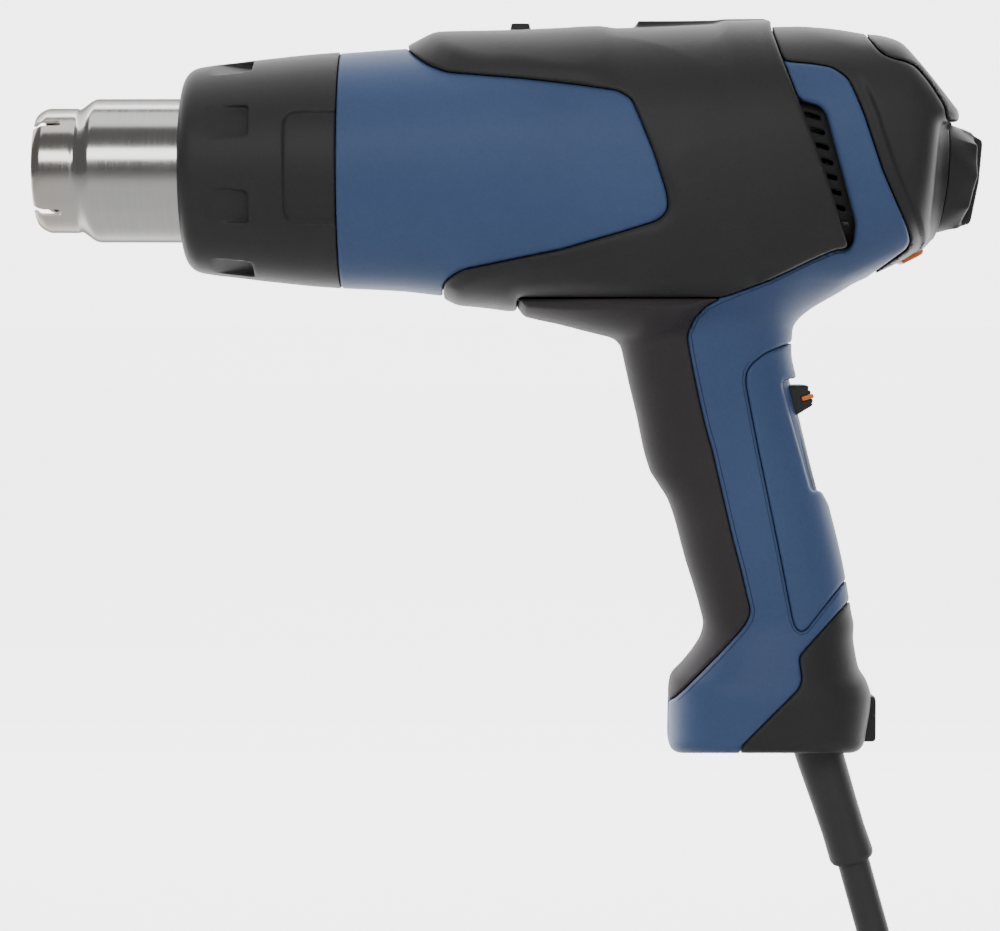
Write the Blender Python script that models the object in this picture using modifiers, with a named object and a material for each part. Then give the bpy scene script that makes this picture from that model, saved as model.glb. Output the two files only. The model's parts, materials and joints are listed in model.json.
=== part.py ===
"""Corded hot-air gun, built as an assembly of separate parts.

Frame: metres, +Z up. The barrel runs along X with the outlet toward -X, the
tool's left side faces -Y, and the origin is the centre of the hand grip.
Lengths below are in millimetres and are scaled by MM.
"""
import math

import bmesh
import bpy
from mathutils import Matrix, Vector

MM = 0.001
GAP = 0.3                      # clearance between neighbouring pieces
WALL = 2.5                     # wall of the moulded housing
BARREL_Z = 90.0                # height of the barrel axis
RIM_X = -193.4                 # front rim of the outlet
SLEEVE_FRONT = -152.6
SLEEVE_BACK = -108.5
HOUSING_FRONT = -108.1
DIAL_BASE = Vector((54.6, 0.0, 88.1))
DIAL_AXIS = Vector((0.9962, 0.0, -0.0872)).normalized()
BOOT_START = Vector((23.65, 0.0, -70.8))
BOOT_AXIS = Vector((0.307, 0.0, -0.952)).normalized()
BOOT_LENGTH = 30.6
CORD_R = 4.4
TRACK_TOP = Vector((15.4, 0.0, 23.3))
TRACK_AXIS = Vector((0.274, 0.0, -0.962)).normalized()
COIL_R = 52.0                  # middle of the turns
COIL_CENTRE = Vector((42.0, 0.0, -214.0))

# Barrel sections: x, top z, bottom z, half width, superellipse exponent.
BARREL = [
    (-108.1, 122.2, 57.9, 32.2, 2.0), (-92, 123.4, 57.1, 33.3, 2.05),
    (-81, 124.0, 56.3, 34.2, 2.1), (-59, 125.6, 54.5, 36.5, 2.25),
    (-37, 126.8, 49.5, 38.6, 2.4), (-10, 127.3, 46.5, 39.2, 2.5),
    (7, 127.4, 49.0, 38.8, 2.55), (18, 127.0, 54.0, 38.0, 2.6),
    (30, 128.6, 57.5, 37.3, 2.6), (40, 127.3, 61.8, 36.4, 2.6),
    (47, 125.0, 65.2, 34.2, 2.5), (54, 118.5, 68.0, 29.0, 2.4),
    (60.5, 112.0, 71.0, 20.0, 2.2),
]
# Raised cover sections, same columns.
COVER = [
    (-91.5, 123.5, 57.0, 33.4, 2.05), (-85.2, 127.8, 55.9, 35.2, 2.1),
    (-79, 128.3, 55.0, 36.0, 2.15), (-59, 128.6, 53.4, 38.0, 2.3),
    (-37, 129.5, 48.4, 40.2, 2.4), (-26, 130.8, 46.5, 40.8, 2.45),
    (-10, 130.9, 45.5, 41.3, 2.5), (7, 130.8, 48.0, 41.4, 2.55),
    (28, 130.4, 56.0, 40.4, 2.6),
]
# Handle sections: z, front x, rear x, half width, exponent.
HANDLE = [
    (58.0, -36, 28, 24, 2.3), (46.4, -32.5, 16.2, 20.5, 2.2),
    (40.9, -31.2, 15.7, 19.2, 2.2), (32.7, -29.4, 17.05, 18.5, 2.2),
    (24.4, -27.4, 19.0, 18.2, 2.2), (7.9, -23.4, 23.1, 18, 2.2),
    (-0.3, -18, 25.3, 18, 2.2), (-16.8, -13.5, 29.4, 17.6, 2.2),
    (-30.6, -9.35, 31.9, 17.8, 2.2), (-34.7, -8.5, 32.6, 18.4, 2.2),
    (-41.6, -11.8, 33.9, 20, 2.3), (-49.8, -17.9, 36.6, 22.5, 2.5),
    (-64.9, -18.15, 36.2, 23.5, 2.6), (-70.4, -13, 33.5, 20.5, 2.6),
]
# Outlines in the XZ plane (side view).
COVER_LINE = [
    (-91.4, 140), (-90.3, 121.6), (-88.3, 118.3), (-84, 115), (-79.2, 113.1),
    (-59.5, 111.5), (-45.3, 109.9), (-34, 108.3), (-30.4, 106.1),
    (-27.8, 100.1), (-24.5, 92.1), (-21.1, 81.6), (-20.6, 77.7),
    (-21.5, 75.6), (-23.6, 73.8), (-31.5, 71.3), (-48.7, 66.3),
    (-71.4, 61.6), (-74.9, 60.9), (-77.8, 59.3), (-80.3, 57.0), (-79.4, 46),
    (-60.6, 46), (-60.6, 52.6), (-11.0, 52.6), (-6.3, 53.6), (0.2, 55.9),
    (6.4, 58.5), (11.9, 61.1), (17.2, 63.7), (23.5, 66.4), (27, 66.8),
    (24.9, 73.1), (21.7, 83.7), (18, 93.9), (13.4, 105.8), (9.7, 115.9),
    (8.6, 127.7), (8.3, 140),
]
GRIP_LINE = [
    (-60.3, 30), (-60.3, 52.3), (-11.0, 52.3), (-12.6, 50.6), (-14.4, 48.0),
    (-14.9, 44.3), (-14, 40.3),
    (-12.9, 34.9), (-11.2, 26.8), (-9.3, 18.8), (-7.7, 13.4), (-5.8, 5.3),
    (-3.9, -2.8), (-2, -10.9), (0.2, -19), (2.1, -27.1), (2.9, -30.1),
    (2.3, -32.5), (0.5, -35.2), (-4.6, -40.7), (-10, -46.1), (-15.7, -51.7),
    (-19, -54.4), (-50, -54.4), (-50, 30),
]
BACK_LINE = [
    (14.3, 42.4), (10.2, 43.3), (5.5, 40.7), (0.6, 37.8), (-0.9, 36.1),
    (-1.2, 34.1), (-0.4, 29.3), (3.0, 13.5), (7.8, -11.1), (10.8, -15.4),
    (14.2, -31.3), (15.1, -33.9), (16.2, -34.7), (17.2, -34.2),
    (30.5, -22.4), (60, 4), (60, 42.4),
]
BASE_LINE = [
    (60, -28.2), (31.8, -28.2), (30.1, -29.2), (16, -41.6), (15.7, -42.6),
    (16.6, -48.6), (16.2, -50.1), (15.2, -51.9), (0.9, -66.2), (0.7, -68.6),
    (0.7, -90), (60, -90),
]
REAR_LINE = [
    (8.9, 140), (9.2, 127.7), (10.0, 116.5), (17.2, 115.5), (22.6, 114.5),
    (26.6, 111.5), (28.8, 107.1), (30.9, 102.1), (36, 87), (42.4, 72.4),
    (43.4, 68.5), (42.3, 66.3), (32, 58.8), (30, 50), (90, 50), (90, 140),
]
CAP_LINE = [
    (34.7, 150), (34.7, 128.1), (34.4, 123), (36.6, 118.7), (40.6, 117),
    (45.4, 114.8), (49.6, 111.2), (54.2, 106.0), (55.0, 103.6), (90, 103.6),
    (90, 150),
]
INLET_LINE = [
    (12.2, 105.8), (19, 104.2), (20.8, 102.1), (25, 86.9), (28.7, 73.2),
    (28.1, 68), (26.7, 66.4), (25.5, 66.4), (23.4, 73.1), (20.2, 83.7),
    (16.5, 93.9),
]
# Rear of the barrel as seen from the side, used as a trimming tool.
REAR_TRIM = [
    (20, 133), (34.4, 128.1), (39.9, 127.3), (45.4, 125.1), (50.9, 119),
    (56.4, 112.2), (60.8, 106.1), (60.8, 103.9), (54.6, 103.7),
    (54.3, 71.9), (52.8, 69.5), (50.6, 67.9), (46.2, 65.1), (33, 58.5),
    (20, 40), (90, 40), (90, 133),
]
REAR_TRIM_IN = [
    (15, 131), (34.2, 125.6), (39, 124.6), (44, 122.6), (49, 117.1),
    (53.9, 110.8), (56, 108), (54, 106), (52, 104), (51.9, 73),
    (50.8, 71.5), (49, 70.1), (45.3, 67.8), (32, 61.0), (15, 44),
    (90, 40), (90, 131),
]
TROUGH_LINE = [
    (12.9, 32.2), (15.4, 23.3), (21.5, 1.9), (23.9, 2.3), (26.3, -1.7),
    (40, -1.7), (40, 33.2), (16, 33.2),
]

for old in list(bpy.data.objects):
    bpy.data.objects.remove(old, do_unlink=True)
PARTS = bpy.data.collections.new("heat_gun")
TOOLS = bpy.data.collections.new("cutters")
bpy.context.scene.collection.children.link(PARTS)
bpy.context.scene.collection.children.link(TOOLS)


def material(name, colour, rough, metal=0.0):
    mat = bpy.data.materials.new(name)
    mat.use_nodes = True
    shader = mat.node_tree.nodes["Principled BSDF"]
    shader.inputs["Base Color"].default_value = (*colour, 1.0)
    shader.inputs["Roughness"].default_value = rough
    shader.inputs["Metallic"].default_value = metal
    mat.diffuse_color = (*colour, 1.0)
    return mat


BLUE = material("blue_plastic", (0.045, 0.10, 0.24), 0.45)
BLACK = material("black_plastic", (0.035, 0.035, 0.037), 0.5)
RUBBER = material("grip_rubber", (0.045, 0.042, 0.042), 0.75)
STEEL = material("steel", (0.62, 0.60, 0.58), 0.25, 1.0)
ORANGE = material("orange_plastic", (0.85, 0.2, 0.03), 0.4)
GREY = material("grey_plastic", (0.35, 0.36, 0.38), 0.3)
CERAMIC = material("ceramic", (0.75, 0.72, 0.66), 0.8)
MICA = material("mica", (0.55, 0.45, 0.3), 0.5)
GREEN = material("circuit_green", (0.02, 0.16, 0.06), 0.4)
BRASS = material("brass", (0.7, 0.5, 0.2), 0.3, 1.0)
ALLOY = material("aluminium", (0.7, 0.7, 0.72), 0.35, 1.0)
CORD = material("cord_rubber", (0.03, 0.03, 0.03), 0.65)


def keep(obj, mat):
    """Move a finished object into the part collection with its material."""
    for coll in list(obj.users_collection):
        coll.objects.unlink(obj)
    PARTS.objects.link(obj)
    obj.data.materials.clear()
    obj.data.materials.append(mat)
    return obj


def from_bmesh(bm, name):
    bmesh.ops.recalc_face_normals(bm, faces=bm.faces)
    mesh = bpy.data.meshes.new(name)
    bm.to_mesh(mesh)
    bm.free()
    obj = bpy.data.objects.new(name, mesh)
    TOOLS.objects.link(obj)
    return obj


def bake(obj, face_out=True):
    """Replace an object by the plain mesh that its modifiers make."""
    bpy.context.view_layer.update()
    deps = bpy.context.evaluated_depsgraph_get()
    mesh = bpy.data.meshes.new_from_object(obj.evaluated_get(deps))
    new = bpy.data.objects.new(obj.name + "_m", mesh)
    new.matrix_world = obj.matrix_world
    TOOLS.objects.link(new)
    name = obj.name
    bpy.data.objects.remove(obj, do_unlink=True)
    new.name = name
    bm = bmesh.new()
    bm.from_mesh(mesh)
    bmesh.ops.transform(bm, matrix=new.matrix_world, verts=bm.verts)
    bmesh.ops.remove_doubles(bm, verts=bm.verts, dist=2e-6)
    bmesh.ops.dissolve_degenerate(bm, edges=bm.edges, dist=1e-6)
    bmesh.ops.triangulate(bm, faces=[f for f in bm.faces if len(f.verts) > 4])
    if face_out:
        bmesh.ops.recalc_face_normals(bm, faces=bm.faces)
    bm.to_mesh(mesh)
    bm.free()
    new.matrix_world = Matrix.Identity(4)
    return new


def combine(obj, tool, operation, drop=True):
    mod = obj.modifiers.new("cut", "BOOLEAN")
    mod.operation = operation
    mod.solver = "EXACT"
    mod.object = tool
    name = obj.name
    new = bake(obj, face_out=False)
    new.name = name
    if drop:
        bpy.data.objects.remove(tool, do_unlink=True)
    return new


def cut(obj, *tools, drop=True):
    for tool in tools:
        obj = combine(obj, tool, "DIFFERENCE", drop)
    return obj


def common(obj, tool, drop=True):
    return combine(obj, tool, "INTERSECT", drop)


def join(obj, tool):
    return combine(obj, tool, "UNION")


def copy_of(obj, name):
    new = bpy.data.objects.new(name, obj.data.copy())
    new.matrix_world = obj.matrix_world
    TOOLS.objects.link(new)
    return new


def ring(cx, cz, hx, hz, power, count, start=0.0):
    pts = []
    for i in range(count):
        a = start + 2 * math.pi * i / count
        c, s = math.cos(a), math.sin(a)
        pts.append((cx + hx * math.copysign(abs(c) ** (2 / power), c),
                    cz + hz * math.copysign(abs(s) ** (2 / power), s)))
    return pts


def loft(name, rings):
    """Skin a closed solid through rings that have equal point counts."""
    bm = bmesh.new()
    rows = [[bm.verts.new(Vector(p) * MM) for p in r] for r in rings]
    for lo, hi in zip(rows, rows[1:]):
        for i in range(len(lo)):
            j = (i + 1) % len(lo)
            bm.faces.new((lo[i], lo[j], hi[j], hi[i]))
    bm.faces.new(list(reversed(rows[0])))
    bm.faces.new(rows[-1])
    return from_bmesh(bm, name)


def barrel(name, sections, inset=0.0, first=None, last=None, count=28):
    rings = []
    for i, (x, top, low, half, power) in enumerate(sections):
        if i == 0 and first is not None:
            x = first
        if i == len(sections) - 1 and last is not None:
            x = last
        pts = ring(0, (top + low) / 2, half - inset, (top - low) / 2 - inset,
                   power, count, math.pi / count)
        rings.append([(x, y, z) for y, z in pts])
    return loft(name, rings)


def handle(name, inset=0.0, low=None, count=24):
    rings = []
    for i, (z, front, rear, half, power) in enumerate(HANDLE):
        if i == len(HANDLE) - 1 and low is not None:
            z = low
        if low is not None and z < low:
            continue
        pts = ring((front + rear) / 2, 0, (rear - front) / 2 - inset,
                   half - inset, power, count, math.pi / count)
        rings.append([(x, y, z) for x, y in pts])
    return loft(name, rings)


def outline(name, points, y_low=-60.0, y_high=60.0, grow=0.0):
    """A flat XZ outline with thickness along Y."""
    if grow:
        points = offset(points, grow)
    curve = bpy.data.curves.new(name, "CURVE")
    curve.dimensions = "2D"
    curve.fill_mode = "BOTH"
    curve.extrude = (y_high - y_low) / 2 * MM
    spline = curve.splines.new("POLY")
    spline.points.add(len(points) - 1)
    for i, (x, z) in enumerate(points):
        spline.points[i].co = (x * MM, z * MM, 0, 1)
    spline.use_cyclic_u = True
    obj = bpy.data.objects.new(name, curve)
    TOOLS.objects.link(obj)
    obj.matrix_world = (Matrix.Translation((0, (y_high + y_low) / 2 * MM, 0))
                        @ Matrix.Rotation(math.pi / 2, 4, "X"))
    return bake(obj)


def offset(points, distance):
    """Offset a closed outline; positive grows it."""
    count = len(points)
    area = sum(points[i][0] * points[(i + 1) % count][1]
               - points[(i + 1) % count][0] * points[i][1]
               for i in range(count))
    sign = 1.0 if area > 0 else -1.0
    result = []
    for i in range(count):
        p0, p1, p2 = (Vector(points[i - 1]), Vector(points[i]),
                      Vector(points[(i + 1) % count]))
        d0, d1 = (p1 - p0).normalized(), (p2 - p1).normalized()
        n0 = Vector((d0.y, -d0.x)) * sign
        n1 = Vector((d1.y, -d1.x)) * sign
        n = (n0 + n1)
        n = n.normalized() / max(0.5, math.sqrt((1 + n0.dot(n1)) / 2))
        result.append(tuple(p1 + n * distance))
    return result


def frame_to(origin, axis):
    """Matrix that sends local +Z to axis and the origin to origin."""
    return (Matrix.Translation(origin * MM)
            @ Vector((0, 0, 1)).rotation_difference(axis).to_matrix().to_4x4())


def turned(name, profile, origin, axis, steps=24, closed=False):
    """A profile of (radius, distance along axis) turned by a Screw."""
    bm = bmesh.new()
    verts = [bm.verts.new((r * MM, 0, h * MM)) for r, h in profile]
    for a, b in zip(verts, verts[1:]):
        bm.edges.new((a, b))
    if closed:
        bm.edges.new((verts[-1], verts[0]))
    mesh = bpy.data.meshes.new(name)
    bm.to_mesh(mesh)
    bm.free()
    obj = bpy.data.objects.new(name, mesh)
    TOOLS.objects.link(obj)
    mod = obj.modifiers.new("turn", "SCREW")
    mod.axis = "Z"
    mod.angle = 2 * math.pi
    mod.steps = mod.render_steps = steps
    mod.use_merge_vertices = True
    mod.merge_threshold = 0.00001
    obj.matrix_world = frame_to(Vector(origin), Vector(axis).normalized())
    return bake(obj)


def tube_ring(name, outer, inner, start, end, origin=(0, 0, BARREL_Z),
              axis=(1, 0, 0), steps=24):
    return turned(name, [(outer, end), (outer, start), (inner, start),
                         (inner, end)], origin, axis, steps, closed=True)


def rod(name, radius, start, end, origin=(0, 0, BARREL_Z), axis=(1, 0, 0),
        sides=20, radius2=None):
    bm = bmesh.new()
    length = end - start
    axis = Vector(axis).normalized()
    mid = Vector(origin) + axis * (start + end) / 2
    bmesh.ops.create_cone(
        bm, cap_ends=True, segments=sides, radius1=radius * MM,
        radius2=(radius if radius2 is None else radius2) * MM,
        depth=length * MM, matrix=frame_to(mid, axis))
    return from_bmesh(bm, name)


def block(name, low, high, bevel=0.0, matrix=None):
    low, high = Vector(low), Vector(high)
    bm = bmesh.new()
    size = (high - low) * MM
    place = Matrix.Translation((high + low) / 2 * MM) @ Matrix.Diagonal(
        (*size, 1.0))
    bmesh.ops.create_cube(bm, size=1.0, matrix=place)
    if bevel:
        bmesh.ops.bevel(bm, geom=bm.edges, offset=bevel * MM, segments=1,
                        affect="EDGES", clamp_overlap=True)
    if matrix is not None:
        bmesh.ops.transform(bm, matrix=matrix, verts=bm.verts)
    return from_bmesh(bm, name)


def smooth_points(route, spacing):
    """Points at even spacing on a smooth curve through a route."""
    pts = [Vector(p) for p in route]
    ext = [pts[0] * 2 - pts[1]] + pts + [pts[-1] * 2 - pts[-2]]
    fine = []
    for i in range(1, len(ext) - 2):
        p0, p1, p2, p3 = ext[i - 1], ext[i], ext[i + 1], ext[i + 2]
        for k in range(24):
            t = k / 24
            fine.append(0.5 * ((2 * p1) + (p2 - p0) * t
                               + (2 * p0 - 5 * p1 + 4 * p2 - p3) * t * t
                               + (3 * p1 - p0 - 3 * p2 + p3) * t ** 3))
    fine.append(pts[-1])
    total = sum((b - a).length for a, b in zip(fine, fine[1:]))
    count = max(2, round(total / spacing))
    step, result, run, goal = total / count, [fine[0]], 0.0, total / count
    for a, b in zip(fine, fine[1:]):
        length = (b - a).length
        while length and run + length >= goal - 1e-9 and len(result) < count:
            result.append(a.lerp(b, (goal - run) / length))
            goal += step
        run += length
    result.append(fine[-1])
    return result


def wire(name, points, radius, mat, resolution=2):
    curve = bpy.data.curves.new(name, "CURVE")
    curve.dimensions = "3D"
    curve.bevel_depth = radius * MM
    curve.bevel_resolution = resolution
    curve.use_fill_caps = True
    spline = curve.splines.new("POLY")
    spline.points.add(len(points) - 1)
    for i, p in enumerate(points):
        spline.points[i].co = (*(Vector(p) * MM), 1)
    obj = bpy.data.objects.new(name, curve)
    TOOLS.objects.link(obj)
    return keep(bake(obj), mat)


def pivot(obj, point):
    """Put an object's origin on its joint axis."""
    shift = Vector(point) * MM
    obj.data.transform(Matrix.Translation(-shift))
    obj.matrix_world = Matrix.Translation(shift)
    return obj


def halves(obj, left, right, mat, gap=0.15):
    """Split a body at the centre plane into a left and a right half."""
    other = copy_of(obj, right)
    a = common(obj, block("side_l", (-300, -90, -120), (120, -gap, 200)))
    b = common(other, block("side_r", (-300, gap, -120), (120, 90, 200)))
    a.name, b.name = left, right
    return keep(a, mat), keep(b, mat)


# ---------------------------------------------------------------- housing
core = join(barrel("core", BARREL), handle("core_h"))
core = cut(core, outline("rear_trim", REAR_TRIM))
hollow = join(barrel("hollow", BARREL, WALL, first=HOUSING_FRONT + WALL,
                     last=58.0), handle("hollow_h", WALL, low=-67.4))
hollow = cut(hollow, outline("rear_trim_in", REAR_TRIM_IN))
shell = cut(core, hollow, drop=False)
shell.name = "shell"

# Bores through the shell: outlet tube, dial shaft and strain relief.
shell = cut(shell, rod("bore_tube", 20.3, -120, -100, sides=32))
shell = cut(shell, rod("bore_dial", 3.6, -8, 4, DIAL_BASE, DIAL_AXIS, 16))
shell = cut(shell, rod("bore_boot", 6.7, -9, 8, BOOT_START, BOOT_AXIS, 16))

def inner_body(name, inset):
    """Outer form of the housing, moved in by inset."""
    body = join(barrel(name, BARREL, inset), handle(name + "_h", inset))
    body.name = name
    return body


# Under the raised cover the housing goes on as a thinner wall.
blue = copy_of(shell, "blue")
skin = cut(outline("w_cover", COVER_LINE, grow=GAP),
           inner_body("under_cover", 1.0))
blue = cut(blue, skin)
for name, line in (("w_back", BACK_LINE), ("w_base", BASE_LINE),
                   ("w_rear", REAR_LINE)):
    blue = cut(blue, outline(name, line, grow=GAP))
blue = cut(blue, cut(outline("w_grip", GRIP_LINE, grow=GAP),
                     inner_body("under_grip", 1.0)))
blue = cut(blue, outline("w_inlet", INLET_LINE))
SCREWS = [(-12.0, 57.2), (36.0, 79.0), (-5.2, 20.0), (5.5, -18.0),
          (-6.0, -60.0)]
left, right = halves(blue, "housing_left", "housing_right", BLUE)
for x, z in SCREWS:
    right = cut(right, rod("screw_hole", 3.4, 5, 60, (x, 0, z), (0, 1, 0), 12))
right.name = "housing_right"
keep(right, BLUE)

# Raised black cover over the barrel, in two halves.
cover = barrel("cover", COVER)
cover = join(cover, handle("cover_h"))
cover = cut(cover, inner_body("cover_seat", 0.7))
cover = common(cover, outline("cover_area", COVER_LINE))
c_left, c_right = halves(cover, "cover_left", "cover_right", BLACK)
c_right = cut(c_right, rod("screw_hole", 3.4, 5, 60,
                           (SCREWS[0][0], 0, SCREWS[0][1]), (0, 1, 0), 12))
c_right.name = "cover_right"
keep(c_right, BLACK)

grip = join(barrel("grip", COVER, 0.6), handle("grip_h"))
grip = cut(grip, inner_body("grip_seat", 0.7))
grip = common(grip, outline("grip_area", GRIP_LINE))
grip.name = "front_grip"
keep(grip, RUBBER)

back = common(copy_of(shell, "back"), outline("back_area", BACK_LINE))
back = cut(back, outline("trough", TROUGH_LINE))
# The trough runs into the hollow, so the panel gets a floor of its own.
floor = common(outline("floor_area", [
    (12.7, 32.3), (15.2, 23.3), (21.2, 2.2), (24.6, 2.2), (27.0, -3.0),
    (23.6, -4.0), (18.6, 1.2), (12.6, 22.6), (10.0, 31.6), (10.6, 35.6),
    (17.0, 35.6), (16.2, 32.3)], -17, 17), handle("floor_limit", 0.05))
back = join(back, floor)
track_m = frame_to(TRACK_TOP, TRACK_AXIS)
# Local frame of the track: +Z runs down the slide, +X points into the hand.
side = Vector((TRACK_AXIS.z * -1, 0, TRACK_AXIS.x))


def on_track(name, along, across, out, bevel=0.0):
    """A block placed by (start, end) along, across and out of the track."""
    low = (along[0], across[0], out[0])
    high = (along[1], across[1], out[1])
    basis = Matrix((TRACK_AXIS, Vector((0, 1, 0)), side)).transposed()
    return block(name, low, high, bevel,
                 Matrix.Translation(TRACK_TOP * MM) @ basis.to_4x4())


back = cut(back, on_track("track_pocket", (1.2, 21.4), (-7.3, 7.3),
                          (-1.2, 3.0)))
back = cut(back, on_track("track_slot", (-4.6, 17.0), (-2.0, 2.0), (-9, 3.0)))
back.name = "handle_back_cover"
keep(back, BLUE)
track = on_track("switch_track", (1.5, 21.1), (-7.0, 7.0), (-0.9, -0.05))
track = cut(track, on_track("track_gap", (0.5, 17.0), (-2.0, 2.0), (-3, 3)))
track.name = "switch_track"
keep(track, GREY)

slider = on_track("switch_slider", (-7.6, -0.2), (-6.0, 6.0), (0.35, 5.6),
                  0.8)
slider = join(slider, on_track("slider_stem", (-4.2, -1.0), (-1.6, 1.6),
                               (-5.2, 1.0)))
slider = cut(slider, on_track("pointer_seat", (-4.4, -2.6), (-3.2, 8.0),
                              (3.4, 7.0)))
slider.name = "switch_slider"
keep(slider, BLACK)
pivot(slider, TRACK_TOP)
pointer = keep(on_track("switch_pointer", (-4.1, -2.9), (-2.9, 5.6),
                        (3.7, 6.0)), ORANGE)
pivot(pointer, TRACK_TOP)
bpy.context.view_layer.update()
pointer.parent = slider
pointer.matrix_parent_inverse = slider.matrix_world.inverted()

base = common(copy_of(shell, "base"), outline("base_area", BASE_LINE))
base = cut(base, block("latch_pocket", (32.4, -6.6, -66.9), (60, 6.6, -53.3)))
base.name = "cable_base"
keep(base, BLACK)
latch = block("cable_latch", (34.6, -6.2, -66.4), (39.2, 6.2, -53.8), 0.6)
latch = join(latch, rod("latch_boss", 2.0, 38.5, 39.7, (0, 0, -60.1),
                        (1, 0, 0), 14))
latch.name = "cable_latch"
keep(latch, BLACK)
pivot(latch, (34.6, 0, -60.1))

rear_all = common(copy_of(shell, "rear"), outline("rear_area", REAR_LINE))
cap = common(copy_of(rear_all, "cap"), outline("cap_area", CAP_LINE))
cap.name = "rear_cap"
keep(cap, BLACK)
rear = cut(rear_all, outline("cap_gap", CAP_LINE, grow=GAP))
lens_area = [(44.6, 62.0), (44.6, 67.4), (50.6, 70.6), (53.0, 66.0)]
rear = cut(rear, outline("lens_gap", lens_area, -5.3, 5.3))
rear.name = "rear_cover"
keep(rear, BLACK)
lens = common(copy_of(shell, "lens"),
              outline("lens_area", offset(lens_area, -GAP), -5.0, 5.0))
lens.name = "indicator_lens"
keep(lens, ORANGE)

# Curved grilles behind the two air inlets.
layer = cut(barrel("layer", BARREL, WALL + GAP, last=58.0),
            barrel("layer_in", BARREL, WALL + 1.8, first=-109.0, last=61.0))
layer = common(layer, outline("grille_area", offset(INLET_LINE, 2.2)))
for i in range(6):
    z = 70.2 + i * 6.0
    layer = cut(layer, block("louvre", (15.0 - (i - 1) * 1.0, -50, z),
                             (26.5 - i * 1.6, 50, z + 3.4)))
g_left, g_right = halves(layer, "intake_grille_left", "intake_grille_right",
                         BLACK)

# ------------------------------------------------------ outlet and heater
tube = turned("outlet_tube", [
    (15.8, RIM_X), (16.6, RIM_X + 1.0), (17.0, RIM_X + 2.6),
    (17.0, -179.7), (19.7, -176.0), (19.7, -105.2), (26.0, -105.2),
    (26.0, -103.9), (18.8, -103.9), (18.8, -175.4), (16.1, -179.0),
    (16.1, RIM_X + 1.8), (14.9, RIM_X)], (0, 0, BARREL_Z), (1, 0, 0),
    32, closed=True)
for k in range(4):
    turn = Matrix.Translation((0, 0, BARREL_Z * MM)) @ Matrix.Rotation(
        math.pi / 4 + k * math.pi / 2, 4, "X")
    tube = cut(tube, block("slot", (-200, -1.0, 10), (RIM_X + 8.3, 1.0, 25),
                           0, turn))
tube.name = "outlet_tube"
keep(tube, STEEL)

sleeve = turned("protective_sleeve", [
    (24.6, SLEEVE_FRONT), (27.2, SLEEVE_FRONT + 1.6),
    (28.6, SLEEVE_FRONT + 5.2), (30.4, -138.0), (32.0, SLEEVE_BACK - 0.3),
    (32.0, SLEEVE_BACK), (28.6, SLEEVE_BACK), (26.0, -147.5),
    (20.4, -147.5), (20.4, SLEEVE_FRONT)], (0, 0, BARREL_Z), (1, 0, 0), 32,
    closed=True)
for k in range(8):
    turn = Matrix.Translation((0, 0, BARREL_Z * MM)) @ Matrix.Rotation(
        math.pi / 8 + k * math.pi / 4, 4, "X")
    sleeve = cut(sleeve, block("scoop", (-144.5, -5.0, 29.2),
                               (-134.0, 5.0, 40), 0, turn))
sleeve.name = "protective_sleeve"
keep(sleeve, BLACK)
pivot(sleeve, (0, 0, BARREL_Z))

keep(tube_ring("mica_tube", 18.4, 17.8, -172.0, -106.5), MICA)
keep(turned("heater_core", [
    (0, -168), (17.3, -168), (17.3, -165.5), (7.5, -165.5), (7.5, -111.5),
    (17.3, -111.5), (17.3, -109), (0, -109)], (0, 0, BARREL_Z), (1, 0, 0),
    20), CERAMIC)
turns, per_turn = 8, 12
wire("heating_coil", [
    (-162.5 + 47.5 * i / (turns * per_turn),
     12.0 * math.sin(2 * math.pi * i / per_turn),
     BARREL_Z + 12.0 * math.cos(2 * math.pi * i / per_turn))
    for i in range(turns * per_turn + 1)], 0.8, STEEL, 1)
keep(rod("temperature_sensor", 1.4, -177.5, -168.4, sides=12), BRASS)
keep(tube_ring("heater_flange", 26.0, 8.0, -103.5, -101.0), CERAMIC)

# ------------------------------------------------------------ fan and motor
keep(tube_ring("fan_duct", 29.4, 28.4, -98.0, -22.0, steps=28), BLACK)
mount = tube_ring("motor_mount", 28.2, 25.6, -52.0, -46.0)
mount = join(mount, tube_ring("hub", 16.6, 14.4, -52.0, -46.0))
for k in range(3):
    turn = Matrix.Translation((0, 0, BARREL_Z * MM)) @ Matrix.Rotation(
        k * 2 * math.pi / 3, 4, "X")
    mount = join(mount, block("arm", (-51.5, -1.5, 15.5), (-46.5, 1.5, 26.5),
                              0, turn))
mount.name = "motor_mount"
keep(mount, BLACK)
keep(rod("motor_can", 14.0, -62, -27), ALLOY)
keep(tube_ring("motor_end_cap", 13.4, 2.2, -26.7, -22.7), BLACK)
shaft = keep(rod("motor_shaft", 1.6, -26.6, 5.5, sides=14), STEEL)
pivot(shaft, (0, 0, BARREL_Z))
fan = tube_ring("fan_impeller", 5.0, 1.9, -20.5, 3.0)
fan = join(fan, tube_ring("fan_disc", 27.5, 4.0, -20.5, -19.0))
for k in range(9):
    turn = (Matrix.Translation((0, 0, BARREL_Z * MM))
            @ Matrix.Rotation(k * 2 * math.pi / 9, 4, "X"))
    lean = turn @ Matrix.Translation((0, 0, 4.2 * MM)) @ Matrix.Rotation(
        0.5, 4, "X")
    fan = join(fan, block("blade", (-19.6, -0.6, 0), (0.0, 0.6, 22.0), 0,
                          lean))
fan.name = "fan_impeller"
keep(fan, BLACK)
pivot(fan, (0, 0, BARREL_Z))
keep(tube_ring("fan_inlet_ring", 30.0, 22.0, 7.0, 8.6, steps=28), BLACK)

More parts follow.
